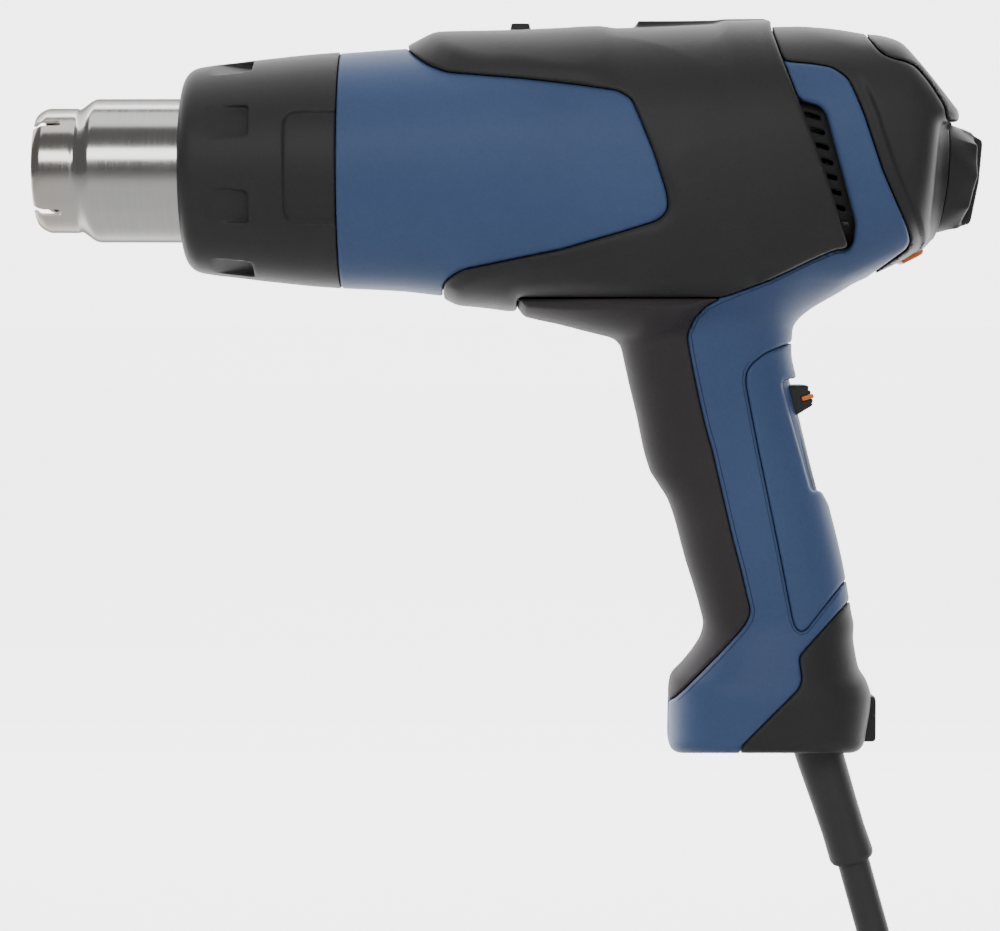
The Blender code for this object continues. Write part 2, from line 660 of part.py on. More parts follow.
# ------------------------------------------------------------- electronics
keep(block("circuit_board", (31.0, -27, 74), (32.6, 27, 116)), GREEN)
keep(rod("capacitor", 6.0, 17.0, 30.7, (0, 13, 104), sides=16), GREY)
keep(block("triac_heat_sink", (15.0, -20, 98), (30.7, -6, 112), 0.8), ALLOY)
keep(block("relay", (18.0, 2, 78), (30.7, 17, 92), 0.6), BLUE)
keep(rod("dial_potentiometer", 8.0, -12.0, -5.0, DIAL_BASE, DIAL_AXIS, 20),
     GREY)
spindle = keep(rod("dial_spindle", 3.0, -4.7, 8.0, DIAL_BASE, DIAL_AXIS, 16),
               ALLOY)
pivot(spindle, DIAL_BASE)
dial = rod("temperature_dial", 15.3, 1.75, 7.4, DIAL_BASE, DIAL_AXIS, 18,
           13.8)
dial = join(dial, rod("dial_top", 12.9, 6.9, 12.2, DIAL_BASE, DIAL_AXIS, 18,
                      11.6))
for k in range(6):
    angle = k * math.pi / 3
    spin = (frame_to(DIAL_BASE, DIAL_AXIS) @ Matrix.Rotation(angle, 4, "Z"))
    dial = cut(dial, block("flute", (12.6, -2.4, 4.6), (22, 2.4, 20), 0,
                           spin))
dial = cut(dial, rod("dial_bore", 3.3, -2, 8.4, DIAL_BASE, DIAL_AXIS, 16))
dial.name = "temperature_dial"
keep(dial, BLACK)
pivot(dial, DIAL_BASE)

keep(block("switch_body", (-6.0, -7, 4), (8.0, 7, 30), 0.8), BLACK)
keep(block("terminal_block", (2.0, -9, -36), (14.0, 9, -24), 0.8), GREY)
keep(block("cord_clamp", (10.0, -9, -58), (24.5, 9, -53), 0.6), GREY)
for i, y in enumerate((-4.0, 4.0), 1):
    wire(f"lead_wire_{i}", smooth_points(
        [(-3.0, y, 31.0), (-5.0, y * 1.4, 44), (-3.0, y * 2, 51.0),
         (9.0, y * 2.2, 55.8), (24.0, y * 2.4, 63.5), (28.0, y * 2.5, 70.5)],
        6.0), 1.1, RUBBER, 1)
    wire(f"mains_wire_{i}", smooth_points(
        [(7.0, y, -23.7), (6.0, y, -17), (2.0, y, -8), (1.5, y, 3.7)], 5.0),
        1.2, RUBBER, 1)
for i, (x, z) in enumerate(SCREWS, 1):
    tip = 8.0
    seat = {1: 21.0, 2: 30.0, 3: 13.0, 4: 12.0, 5: 17.0}[i]
    keep(turned(f"housing_screw_{i}", [
        (0, seat + 2.4), (3.0, seat + 2.4), (3.0, seat), (1.4, seat),
        (1.4, tip), (0, tip)], (x, 0, z), (0, 1, 0), 10), STEEL)

# --------------------------------------------------- strain relief and cord
keep(turned("strain_relief_sleeve", [
    (7.4, -8.6), (7.4, -7.0), (6.35, -7.0), (6.35, 2), (5.6, BOOT_LENGTH),
    (4.7, BOOT_LENGTH), (4.7, -8.6)], BOOT_START, BOOT_AXIS, 20,
    closed=True), RUBBER)


def cord_route():
    """Free cord from the strain relief to the edge of the coil."""
    exit_point = BOOT_START + BOOT_AXIS * BOOT_LENGTH
    start = BOOT_START + BOOT_AXIS * (BOOT_LENGTH - 6)
    return [start, exit_point, (38.2, -0.6, -118.0), (41.8, -3.0, -134.0),
            (42.0, -6.5, -147.0)]


wire("cord_tube", smooth_points(cord_route(), 18.0), CORD_R, CORD, 2)
tail_x = COIL_CENTRE.x - COIL_R + 3.8
tail = [(tail_x, -22.4, COIL_CENTRE.z + 6), (tail_x, -22.4,
                                             COIL_CENTRE.z - 18),
        (tail_x, -22.4, COIL_CENTRE.z - 42)]
wire("cord_tail", smooth_points(tail, 18.0), CORD_R, CORD, 2)
keep(turned("cord_coil", [
    (COIL_R + 8.5, 15.5), (COIL_R + 8.5, -15.5), (COIL_R + 6, -17.7),
    (COIL_R - 6, -17.7), (COIL_R - 8.5, -15.5), (COIL_R - 8.5, 15.5),
    (COIL_R - 6, 17.7), (COIL_R + 6, 17.7)], COIL_CENTRE, (0, 1, 0), 36,
    closed=True), CORD)
tie_angle = math.radians(50)
tie_at = COIL_CENTRE + Vector((math.cos(tie_angle), 0,
                               math.sin(tie_angle))) * COIL_R
tie_m = Matrix.Translation(tie_at * MM) @ Matrix.Rotation(-tie_angle, 4, "Y")
tie = block("cord_tie", (-10.4, -19.6, -5), (10.4, 19.6, 5), 1.2, tie_m)
tie = cut(tie, block("tie_hole", (-9.0, -18.2, -9), (9.0, 18.2, 9), 0,
                     tie_m))
tie.name = "cord_tie"
keep(tie, RUBBER)
plug_top = COIL_CENTRE.z - 42.3
plug = turned("mains_plug", [
    (0, 0), (5.6, 0), (6.6, -16), (9.5, -19), (13.0, -26), (13.4, -44),
    (12.2, -46), (0, -46)], (tail_x, -22.4, plug_top), (0, 0, 1), 20)
plug.name = "mains_plug"
for i, dx in enumerate((-9.5, 9.5), 1):
    keep(rod(f"plug_pin_{i}", 2.3, -65.0, -46.3,
             (tail_x + dx, -22.4, plug_top), (0, 0, 1), 12), BRASS)
keep(plug, RUBBER)

for spare in list(TOOLS.objects):
    if spare.name not in PARTS.objects:
        bpy.data.objects.remove(spare, do_unlink=True)
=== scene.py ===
"""Looks of the corded hot-air gun: fine shells, cord, materials, light, camera.

Lengths are worked out in millimetres and written to meshes in metres.
The housing is meshed from a smooth thickness field: sections along the barrel
and the handle, trimmed by side-view outlines, with rounded panel edges.
"""

import json
import math

import bmesh
import bpy
import numpy as np
from mathutils import Matrix, Vector

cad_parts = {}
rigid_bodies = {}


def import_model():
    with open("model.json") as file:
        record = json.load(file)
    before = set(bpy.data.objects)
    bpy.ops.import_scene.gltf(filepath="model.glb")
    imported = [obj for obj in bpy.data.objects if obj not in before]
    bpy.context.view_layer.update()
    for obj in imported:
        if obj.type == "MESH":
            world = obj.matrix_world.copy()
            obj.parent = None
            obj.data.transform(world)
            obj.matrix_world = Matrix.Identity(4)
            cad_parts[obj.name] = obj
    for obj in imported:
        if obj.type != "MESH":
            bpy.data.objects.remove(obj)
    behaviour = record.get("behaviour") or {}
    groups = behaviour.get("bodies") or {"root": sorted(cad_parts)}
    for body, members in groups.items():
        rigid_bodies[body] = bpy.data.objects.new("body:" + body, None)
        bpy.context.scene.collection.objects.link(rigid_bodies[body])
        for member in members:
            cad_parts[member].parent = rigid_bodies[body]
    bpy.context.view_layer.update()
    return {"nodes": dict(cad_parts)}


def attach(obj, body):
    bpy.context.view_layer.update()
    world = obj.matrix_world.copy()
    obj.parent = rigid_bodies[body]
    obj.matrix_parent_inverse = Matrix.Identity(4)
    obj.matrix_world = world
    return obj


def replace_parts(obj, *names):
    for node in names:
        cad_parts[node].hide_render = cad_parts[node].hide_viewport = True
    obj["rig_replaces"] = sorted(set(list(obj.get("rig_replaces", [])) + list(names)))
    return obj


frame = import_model()
MM = 0.001
CELL = 0.62
BARREL_Z = 90.0

# ------------------------------------------------------------------ camera
LENS_D = 600.0                     # distance from the middle plane, mm
VIEW_X, VIEW_Z = -78.4, 46.4       # the point that the lens axis meets
camera_data = bpy.data.cameras.new("camera")
camera = bpy.data.objects.new("camera", camera_data)
bpy.context.scene.collection.objects.link(camera)
camera_data.sensor_width = 36.0
camera_data.lens = 36.0 * LENS_D / 275.0
camera_data.clip_start = 0.05
camera_data.clip_end = 20.0
camera.location = (VIEW_X * MM, -LENS_D * MM, VIEW_Z * MM)
camera.rotation_euler = (math.pi / 2 - 0.0277, 0, 0)
camera_data.shift_x = 0.05
camera_data.shift_y = -0.075
bpy.context.scene.camera = camera


# ------------------------------------------------------------ small helpers
def table(rows):
    """Monotone cubic curves through the columns of a table."""
    rows = np.array(sorted(rows), dtype=float)
    xk = rows[:, 0]
    h = np.diff(xk)
    curves = []
    for col in range(1, rows.shape[1]):
        yk = rows[:, col]
        d = np.diff(yk) / h
        m = np.zeros_like(yk)
        m[0], m[-1] = d[0], d[-1]
        for i in range(1, len(yk) - 1):
            if d[i - 1] * d[i] > 0:
                w1, w2 = 2 * h[i] + h[i - 1], h[i] + 2 * h[i - 1]
                m[i] = (w1 + w2) / (w1 / d[i - 1] + w2 / d[i])
        curves.append((yk, m))

    def at(x):
        x = np.clip(x, xk[0], xk[-1])
        i = np.clip(np.searchsorted(xk, x, side="right") - 1, 0, len(xk) - 2)
        t = (x - xk[i]) / h[i]
        t2, t3 = t * t, t * t * t
        out = []
        for yk, m in curves:
            out.append((2 * t3 - 3 * t2 + 1) * yk[i]
                       + (t3 - 2 * t2 + t) * h[i] * m[i]
                       + (-2 * t3 + 3 * t2) * yk[i + 1]
                       + (t3 - t2) * h[i] * m[i + 1])
        return out
    return at


def smin(a, b, k):
    h = np.clip(0.5 + 0.5 * (b - a) / k, 0.0, 1.0)
    return b + (a - b) * h - k * h * (1.0 - h)


def smax(a, b, k):
    return -smin(-a, -b, k)


def step(a, b, x):
    t = np.clip((x - a) / (b - a), 0.0, 1.0)
    return t * t * (3 - 2 * t)


def rounded(points, radius, sharp=()):
    """Round an outline's corners by up to radius."""
    pts = [np.array(p, dtype=float) for p in points]
    out = []
    count = len(pts)
    for i, p in enumerate(pts):
        r = 0.0 if i in sharp else radius
        a, b = pts[i - 1] - p, pts[(i + 1) % count] - p
        la, lb = np.linalg.norm(a), np.linalg.norm(b)
        cut = min(r, 0.45 * la, 0.45 * lb)
        if cut < 1e-3:
            out.append(p)
            continue
        p0, p2 = p + a / la * cut, p + b / lb * cut
        for t in (0.0, 0.25, 0.5, 0.75, 1.0):
            out.append((1 - t) ** 2 * p0 + 2 * t * (1 - t) * p + t * t * p2)
    return out


PLAN_LOW = np.array((-116.0, -80.0))
PLAN_STEP = 0.35
PLAN_SIZE = (int(196 / PLAN_STEP), int(222 / PLAN_STEP))


def plan(points):
    """Signed distance to a closed XZ outline, negative inside it."""
    gx = PLAN_LOW[0] + PLAN_STEP * np.arange(PLAN_SIZE[0])
    gz = PLAN_LOW[1] + PLAN_STEP * np.arange(PLAN_SIZE[1])
    px, pz = [a.ravel() for a in np.meshgrid(gx, gz, indexing="ij")]
    best = np.full(px.shape, 1e12)
    inside = np.zeros(px.shape, dtype=bool)
    pts = np.array(points, dtype=float)
    for a, b in zip(pts, np.roll(pts, -1, axis=0)):
        e = b - a
        ll = max(float(e @ e), 1e-12)
        wx, wz = px - a[0], pz - a[1]
        t = np.clip((wx * e[0] + wz * e[1]) / ll, 0, 1)
        d = (wx - e[0] * t) ** 2 + (wz - e[1] * t) ** 2
        np.minimum(best, d, out=best)
        if a[1] != b[1]:
            crosses = (pz >= min(a[1], b[1])) & (pz < max(a[1], b[1]))
            cx = a[0] + (pz - a[1]) / (b[1] - a[1]) * e[0]
            inside ^= crosses & (px < cx)
    grid = np.where(inside, -1, 1) * np.sqrt(best)
    grid = grid.reshape(PLAN_SIZE).astype(np.float32)

    def at(x, z):
        x, z = np.broadcast_arrays(x, z)
        u = np.clip((x - PLAN_LOW[0]) / PLAN_STEP, 0, PLAN_SIZE[0] - 1.001)
        v = np.clip((z - PLAN_LOW[1]) / PLAN_STEP, 0, PLAN_SIZE[1] - 1.001)
        i, j = u.astype(int), v.astype(int)
        fu, fv = u - i, v - j
        return ((grid[i, j] * (1 - fu) + grid[i + 1, j] * fu) * (1 - fv)
                + (grid[i, j + 1] * (1 - fu) + grid[i + 1, j + 1] * fu) * fv)
    return at


def level_mesh(name, field, low, high, cell=None, mirror=False, both=False):
    """Mesh the zero level of a field by dual contouring on an even grid."""
    cell = cell or CELL
    low, high = np.array(low, float), np.array(high, float)
    size = np.ceil((high - low) / cell).astype(int) + 2
    axes = [low[i] - cell * 0.5 + cell * np.arange(size[i]) for i in range(3)]
    gx = axes[0][:, None, None]
    gy = axes[1][None, :, None]
    gz = axes[2][None, None, :]
    grid = np.ascontiguousarray(np.broadcast_to(
        field(gx, gy, gz), tuple(size))).astype(np.float32)
    # Close the level at the block's own faces.
    for ax in range(3):
        for side in (0, -1):
            cut = [slice(None)] * 3
            cut[ax] = side
            grid[tuple(cut)] = np.maximum(grid[tuple(cut)], 0.05)
    sign = grid < 0
    corner = np.zeros(tuple(size - 1), dtype=np.int8)
    for dx in (0, 1):
        for dy in (0, 1):
            for dz in (0, 1):
                corner += sign[dx:size[0] - 1 + dx, dy:size[1] - 1 + dy,
                               dz:size[2] - 1 + dz]
    active = (corner > 0) & (corner < 8)
    index = np.full(active.shape, -1, dtype=np.int32)
    cells = np.argwhere(active)
    index[active] = np.arange(len(cells))
    pos = np.zeros((len(cells), 3))
    hits = np.zeros(len(cells))
    corners = [(a, b, c) for a in (0, 1) for b in (0, 1) for c in (0, 1)]
    for a in corners:
        for ax in range(3):
            if a[ax]:
                continue
            b = list(a)
            b[ax] = 1
            va = grid[cells[:, 0] + a[0], cells[:, 1] + a[1],
                      cells[:, 2] + a[2]]
            vb = grid[cells[:, 0] + b[0], cells[:, 1] + b[1],
                      cells[:, 2] + b[2]]
            m = (va < 0) != (vb < 0)
            t = va[m] / (va[m] - vb[m])
            p = np.tile(np.array(a, float), (m.sum(), 1))
            p[:, ax] += t
            pos[m] += p
            hits[m] += 1
    pos = (cells + pos / hits[:, None]) * cell + (low - cell * 0.5)
    # Pull the points onto the level.
    eps = 0.02
    for _ in range(3):
        x, y, z = pos.T
        f = field(x, y, z)
        g = np.stack([
            (field(x + eps, y, z) - field(x - eps, y, z)) / (2 * eps),
            (field(x, y + eps, z) - field(x, y - eps, z)) / (2 * eps),
            (field(x, y, z + eps) - field(x, y, z - eps)) / (2 * eps)], 1)
        gg = np.maximum((g * g).sum(1), 0.05)
        move = -(f / gg)[:, None] * g
        length = np.linalg.norm(move, axis=1, keepdims=True)
        move *= np.minimum(1.0, 0.45 * cell / np.maximum(length, 1e-9))
        pos += move
    quads = []
    for ax in range(3):
        u, v = (ax + 1) % 3, (ax + 2) % 3
        lo = [slice(None)] * 3
        hi = [slice(None)] * 3
        lo[ax], hi[ax] = slice(0, -1), slice(1, None)
        s0, s1 = sign[tuple(lo)], sign[tuple(hi)]
        where = np.argwhere(s0 != s1)
        ok = ((where[:, u] > 0) & (where[:, u] < size[u] - 1)
              & (where[:, v] > 0) & (where[:, v] < size[v] - 1))
        where = where[ok]
        out = s0[where[:, 0], where[:, 1], where[:, 2]]

        def cell_at(du, dv):
            c = where.copy()
            c[:, u] += du
            c[:, v] += dv
            return index[c[:, 0], c[:, 1], c[:, 2]]
        q = np.stack([cell_at(-1, -1), cell_at(0, -1), cell_at(0, 0),
                      cell_at(-1, 0)], 1)
        q[~out] = q[~out][:, ::-1]
        quads.append(q)
    quads = np.concatenate(quads)
    if mirror:
        pos = pos * np.array((1, -1, 1))
        quads = quads[:, ::-1]
    return mesh_from(name, pos, quads)


def mesh_from(name, pos, faces):
    mesh = bpy.data.meshes.new(name)
    mesh.vertices.add(len(pos))
    mesh.vertices.foreach_set("co", (np.asarray(pos) * MM).ravel())
    faces = np.asarray(faces, dtype=np.int32)
    mesh.loops.add(faces.size)
    mesh.loops.foreach_set("vertex_index", faces.ravel())
    mesh.polygons.add(len(faces))
    side = faces.shape[1]
    mesh.polygons.foreach_set("loop_start",
                              np.arange(0, faces.size, side, dtype=np.int32))
    mesh.polygons.foreach_set("use_smooth", np.ones(len(faces), dtype=bool))
    mesh.update(calc_edges=True)
    mesh.validate()
    obj = bpy.data.objects.new(name, mesh)
    bpy.context.scene.collection.objects.link(obj)
    return obj


def tidy(obj, smallest=60):
    """Drop crumbs, and shade every face smooth."""
    bm = bmesh.new()
    bm.from_mesh(obj.data)
    bm.verts.ensure_lookup_table()
    seen, groups = set(), []
    for v in bm.verts:
        if v.index in seen:
            continue
        stack, group = [v], []
        seen.add(v.index)
        while stack:
            a = stack.pop()
            group.append(a)
            for e in a.link_edges:
                b = e.other_vert(a)
                if b.index not in seen:
                    seen.add(b.index)
                    stack.append(b)
        groups.append(group)
    drop = [v for g in groups if len(g) < smallest for v in g]
    if drop:
        bmesh.ops.delete(bm, geom=drop, context="VERTS")
    bm.to_mesh(obj.data)
    bm.free()
    obj.data.polygons.foreach_set(
        "use_smooth", np.ones(len(obj.data.polygons), dtype=bool))
    return obj


def frame_to(origin, axis):
    return (Matrix.Translation(Vector(origin) * MM)
            @ Vector((0, 0, 1)).rotation_difference(
                Vector(axis).normalized()).to_matrix().to_4x4())


def lathe(name, profile, origin, axis, steps=96, closed=True):
    """Turn a profile of (radius, height) pairs about an axis."""
    prof = np.array(profile, float)
    ang = np.linspace(0, 2 * math.pi, steps, endpoint=False)
    m = frame_to(origin, axis)
    pts = np.zeros((len(prof), steps, 3))
    pts[:, :, 0] = prof[:, 0:1] * np.cos(ang)
    pts[:, :, 1] = prof[:, 0:1] * np.sin(ang)
    pts[:, :, 2] = prof[:, 1:2]
    flat = pts.reshape(-1, 3)
    rot = np.array(m.to_3x3())
    flat = flat @ rot.T + np.array(m.translation) / MM
    n = len(prof)
    rows = range(n if closed else n - 1)
    faces = []
    for i in rows:
        j = (i + 1) % n
        for k in range(steps):
            l = (k + 1) % steps
            faces.append((i * steps + k, i * steps + l, j * steps + l,
                          j * steps + k))
    obj = mesh_from(name, flat, faces)
    bm = bmesh.new()
    bm.from_mesh(obj.data)
    bmesh.ops.remove_doubles(bm, verts=bm.verts, dist=1e-6)
    bmesh.ops.recalc_face_normals(bm, faces=bm.faces)
    bm.to_mesh(obj.data)
    bm.free()
    return obj


def fillet_profile(points, radius=0.4, bits=4, closed=True):
    """Round a profile's corners."""
    pts = [np.array(p, float) for p in points]
    out = []
    n = len(pts)
    for i, p in enumerate(pts):
        if not closed and i in (0, n - 1):
            out.append(tuple(p))
            continue
        a, b = pts[i - 1] - p, pts[(i + 1) % n] - p
        la, lb = np.linalg.norm(a), np.linalg.norm(b)
        cut = min(radius, 0.42 * la, 0.42 * lb)
        turn = float(a @ b) / (la * lb)
        if turn < -0.995:
            out.append(tuple(p))
            continue
        p0, p2 = p + a / la * cut, p + b / lb * cut
        for t in np.linspace(0, 1, bits + 1):
            out.append(tuple((1 - t) ** 2 * p0 + 2 * t * (1 - t) * p
                             + t * t * p2))
    return out


def box_piece(name, low, high, bevel=0.5, segments=3, matrix=None):
    bm = bmesh.new()
    low, high = Vector(low), Vector(high)
    bmesh.ops.create_cube(bm, size=1.0, matrix=Matrix.Translation(
        (high + low) / 2) @ Matrix.Diagonal((*(high - low), 1.0)))
    if bevel:
        bmesh.ops.bevel(bm, geom=bm.edges, offset=bevel, segments=segments,
                        profile=0.5, affect="EDGES", clamp_overlap=True)
    bmesh.ops.scale(bm, vec=(MM, MM, MM), verts=bm.verts)
    if matrix is not None:
        bmesh.ops.transform(bm, matrix=matrix, verts=bm.verts)
    mesh = bpy.data.meshes.new(name)
    bm.to_mesh(mesh)
    bm.free()
    obj = bpy.data.objects.new(name, mesh)
    bpy.context.scene.collection.objects.link(obj)
    smooth(obj, 40)
    return obj


def smooth(obj, angle=35):
    """Shade smooth, with hard edges kept above an angle."""
    bm = bmesh.new()
    bm.from_mesh(obj.data)
    for f in bm.faces:
        f.smooth = True
    for e in bm.edges:
        if len(e.link_faces) == 2:
            e.smooth = e.calc_face_angle(0) < math.radians(angle)
    bm.to_mesh(obj.data)
    bm.free()
    return obj


def tube_curve(name, points, radius, material=None, resolution=6):
    curve = bpy.data.curves.new(name, "CURVE")
    curve.dimensions = "3D"
    curve.bevel_depth = radius * MM
    curve.bevel_resolution = resolution
    curve.use_fill_caps = True
    spline = curve.splines.new("POLY")
    spline.points.add(len(points) - 1)
    for i, p in enumerate(points):
        spline.points[i].co = (p[0] * MM, p[1] * MM, p[2] * MM, 1)
    spline.use_smooth = True
    obj = bpy.data.objects.new(name, curve)
    bpy.context.scene.collection.objects.link(obj)
    if material:
        curve.materials.append(material)
    return obj


# --------------------------------------------------------------- materials
def new_material(name):
    mat = bpy.data.materials.new(name)
    mat.use_nodes = True
    tree = mat.node_tree
    shader = tree.nodes["Principled BSDF"]
    return mat, tree, shader


def link(tree, a, b):
    tree.links.new(a, b)


def plastic(name, colour, rough, grain=0.9, bump=0.06, vary=0.06,
            specular=0.45, dust=0.0, coat=0.0):
    """Moulded plastic: fine spark-eroded grain, small colour drift."""
    mat, tree, shader = new_material(name)
    nodes = tree.nodes
    coord = nodes.new("ShaderNodeTexCoord")
    fine = nodes.new("ShaderNodeTexNoise")
    fine.inputs["Scale"].default_value = 1000.0 / grain
    fine.inputs["Detail"].default_value = 2.0
    fine.inputs["Roughness"].default_value = 0.6
    link(tree, coord.outputs["Object"], fine.inputs["Vector"])
    broad = nodes.new("ShaderNodeTexNoise")
    broad.inputs["Scale"].default_value = 22.0
    broad.inputs["Detail"].default_value = 4.0
    link(tree, coord.outputs["Object"], broad.inputs["Vector"])
    ramp = nodes.new("ShaderNodeValToRGB")
    ramp.color_ramp.elements[0].position = 0.3
    ramp.color_ramp.elements[1].position = 0.7
    low = [c * (1 - vary) for c in colour]
    high = [min(1, c * (1 + vary) + 0.002) for c in colour]
    ramp.color_ramp.elements[0].color = (*low, 1)
    ramp.color_ramp.elements[1].color = (*high, 1)
    link(tree, broad.outputs["Fac"], ramp.inputs["Fac"])
    speck = nodes.new("ShaderNodeMixRGB")
    speck.blend_type = "MULTIPLY"
    speck.inputs["Fac"].default_value = 0.16
    link(tree, ramp.outputs["Color"], speck.inputs["Color1"])
    link(tree, fine.outputs["Fac"], speck.inputs["Color2"])
    link(tree, speck.outputs["Color"], shader.inputs["Base Color"])
    rmap = nodes.new("ShaderNodeMapRange")
    rmap.inputs["To Min"].default_value = rough - 0.05
    rmap.inputs["To Max"].default_value = rough + 0.06
    link(tree, broad.outputs["Fac"], rmap.inputs["Value"])
    link(tree, rmap.outputs["Result"], shader.inputs["Roughness"])
    bumper = nodes.new("ShaderNodeBump")
    bumper.inputs["Strength"].default_value = bump
    bumper.inputs["Distance"].default_value = 0.0003
    link(tree, fine.outputs["Fac"], bumper.inputs["Height"])
    link(tree, bumper.outputs["Normal"], shader.inputs["Normal"])
    shader.inputs["Specular IOR Level"].default_value = specular
    if coat:
        shader.inputs["Coat Weight"].default_value = coat
        shader.inputs["Coat Roughness"].default_value = 0.15
    return mat


def metal(name, colour, rough, along=(1, 0, 0), streak=0.35, tint=None,
          aniso=0.0, edge=0.8):
    """Steel with turning lines round its axis and light heat tint."""
    mat, tree, shader = new_material(name)
    nodes = tree.nodes
    coord = nodes.new("ShaderNodeTexCoord")
    mapping = nodes.new("ShaderNodeMapping")
    mapping.inputs["Scale"].default_value = (
        2600 if along[0] else 60, 2600 if along[1] else 60,
        2600 if along[2] else 60)
    link(tree, coord.outputs["Object"], mapping.inputs["Vector"])
    lines = nodes.new("ShaderNodeTexNoise")
    lines.inputs["Scale"].default_value = 1.0
    lines.inputs["Detail"].default_value = 3.0
    link(tree, mapping.outputs["Vector"], lines.inputs["Vector"])
    broad = nodes.new("ShaderNodeTexNoise")
    broad.inputs["Scale"].default_value = 45.0
    broad.inputs["Detail"].default_value = 3.0
    link(tree, coord.outputs["Object"], broad.inputs["Vector"])
    ramp = nodes.new("ShaderNodeValToRGB")
    ramp.color_ramp.elements[0].color = (*[c * 0.86 for c in colour], 1)
    ramp.color_ramp.elements[1].color = (*[min(1, c * 1.08)
                                           for c in colour], 1)
    link(tree, lines.outputs["Fac"], ramp.inputs["Fac"])
    out = ramp.outputs["Color"]
    if tint:
        sep = nodes.new("ShaderNodeSeparateXYZ")
        link(tree, coord.outputs["Object"], sep.inputs["Vector"])
        along_x = nodes.new("ShaderNodeMapRange")
        along_x.inputs["From Min"].default_value = tint[1]
        along_x.inputs["From Max"].default_value = tint[2]
        link(tree, sep.outputs["X"], along_x.inputs["Value"])
        fade = nodes.new("ShaderNodeMath")
        fade.operation = "MULTIPLY"
        link(tree, along_x.outputs["Result"], fade.inputs[0])
        link(tree, broad.outputs["Fac"], fade.inputs[1])
        mix = nodes.new("ShaderNodeMixRGB")
        link(tree, fade.outputs["Value"], mix.inputs["Fac"])
        link(tree, out, mix.inputs["Color1"])
        mix.inputs["Color2"].default_value = (*tint[0], 1)
        out = mix.outputs["Color"]
    link(tree, out, shader.inputs["Base Color"])
    rmap = nodes.new("ShaderNodeMapRange")
    rmap.inputs["To Min"].default_value = max(0.05, rough - 0.06)
    rmap.inputs["To Max"].default_value = rough + 0.1
    link(tree, lines.outputs["Fac"], rmap.inputs["Value"])
    link(tree, rmap.outputs["Result"], shader.inputs["Roughness"])
    bumper = nodes.new("ShaderNodeBump")
    bumper.inputs["Strength"].default_value = 0.08 * streak
    bumper.inputs["Distance"].default_value = 0.0002
    link(tree, lines.outputs["Fac"], bumper.inputs["Height"])
    link(tree, bumper.outputs["Normal"], shader.inputs["Normal"])
    shader.inputs["Metallic"].default_value = 1.0
    shader.inputs["Specular Tint"].default_value = (edge, edge, edge, 1)
    if aniso:
        shader.inputs["Anisotropic"].default_value = aniso
    return mat


BLUE = plastic("blue_plastic", (0.063, 0.104, 0.222), 0.48, bump=0.10,
               specular=0.18)
BLACK = plastic("black_plastic", (0.034, 0.034, 0.034), 0.50, bump=0.10,
                specular=0.2)
RUBBER = plastic("grip_rubber", (0.047, 0.042, 0.045), 0.64, grain=0.7,
                 bump=0.16, specular=0.16)
ORANGE = plastic("orange_plastic", (0.90, 0.20, 0.02), 0.32, bump=0.03)
GREY = plastic("grey_plastic", (0.42, 0.44, 0.47), 0.25, bump=0.03)
CORD = plastic("cord_rubber", (0.034, 0.033, 0.034), 0.55, grain=0.6,
               bump=0.12)
# Near-black: the own colour of the inner parts, and painted shade on the inlet
# grilles, darker than the black plastic so they read as the deep inlet recess.
INNER_AND_SHADE_BLACK = plastic("inner_black_and_painted_shade", (0.010, 0.010, 0.011), 0.7, bump=0.05)
SEAM = plastic("seam_blue", (0.012, 0.026, 0.075), 0.6, bump=0.03)
STEEL = metal("outlet_steel", (0.60, 0.59, 0.58), 0.16, edge=0.12,
              tint=((0.60, 0.50, 0.38), -0.172, -0.200))
INNER_STEEL = metal("inner_steel", (0.42, 0.40, 0.38), 0.35)
ALLOY = metal("alloy", (0.70, 0.71, 0.73), 0.35)
BRASS = metal("brass", (0.72, 0.50, 0.21), 0.28)
CERAMIC = plastic("ceramic", (0.70, 0.66, 0.58), 0.8, vary=0.1)
MICA = plastic("mica", (0.46, 0.38, 0.26), 0.5, vary=0.15)
GREEN = plastic("circuit_green", (0.015, 0.13, 0.05), 0.35)


def finish(obj, mat, body, *nodes, slot=None):
    if obj.type == "MESH":
        obj.data.materials.clear()
    if not obj.data.materials:
        obj.data.materials.append(mat)
    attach(obj, body)
    if nodes:
        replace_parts(obj, *nodes)
    return obj


# -------------------------------------------------------------------- cord
CORD_R = 4.4
BOOT_START = Vector((23.65, 0.0, -70.8))
BOOT_AXIS = Vector((0.307, 0.0, -0.952)).normalized()
BOOT_LENGTH = 30.6
COIL_R = 52.0
COIL_CENTRE = Vector((43.3, 0.0, -214.6))
ARC_R = 38.0
ARC_CENTRE = Vector((2.1, 0.0, -130.2))
JOIN = math.radians(116.0)


def coil_slot(turn):
    """Radius and y of each turn: four outside, then three inside."""
    if turn < 4:
        return COIL_R + 3.8, -13.2 + 8.8 * turn
    return COIL_R - 3.8, 8.8 - 8.8 * (turn - 4)


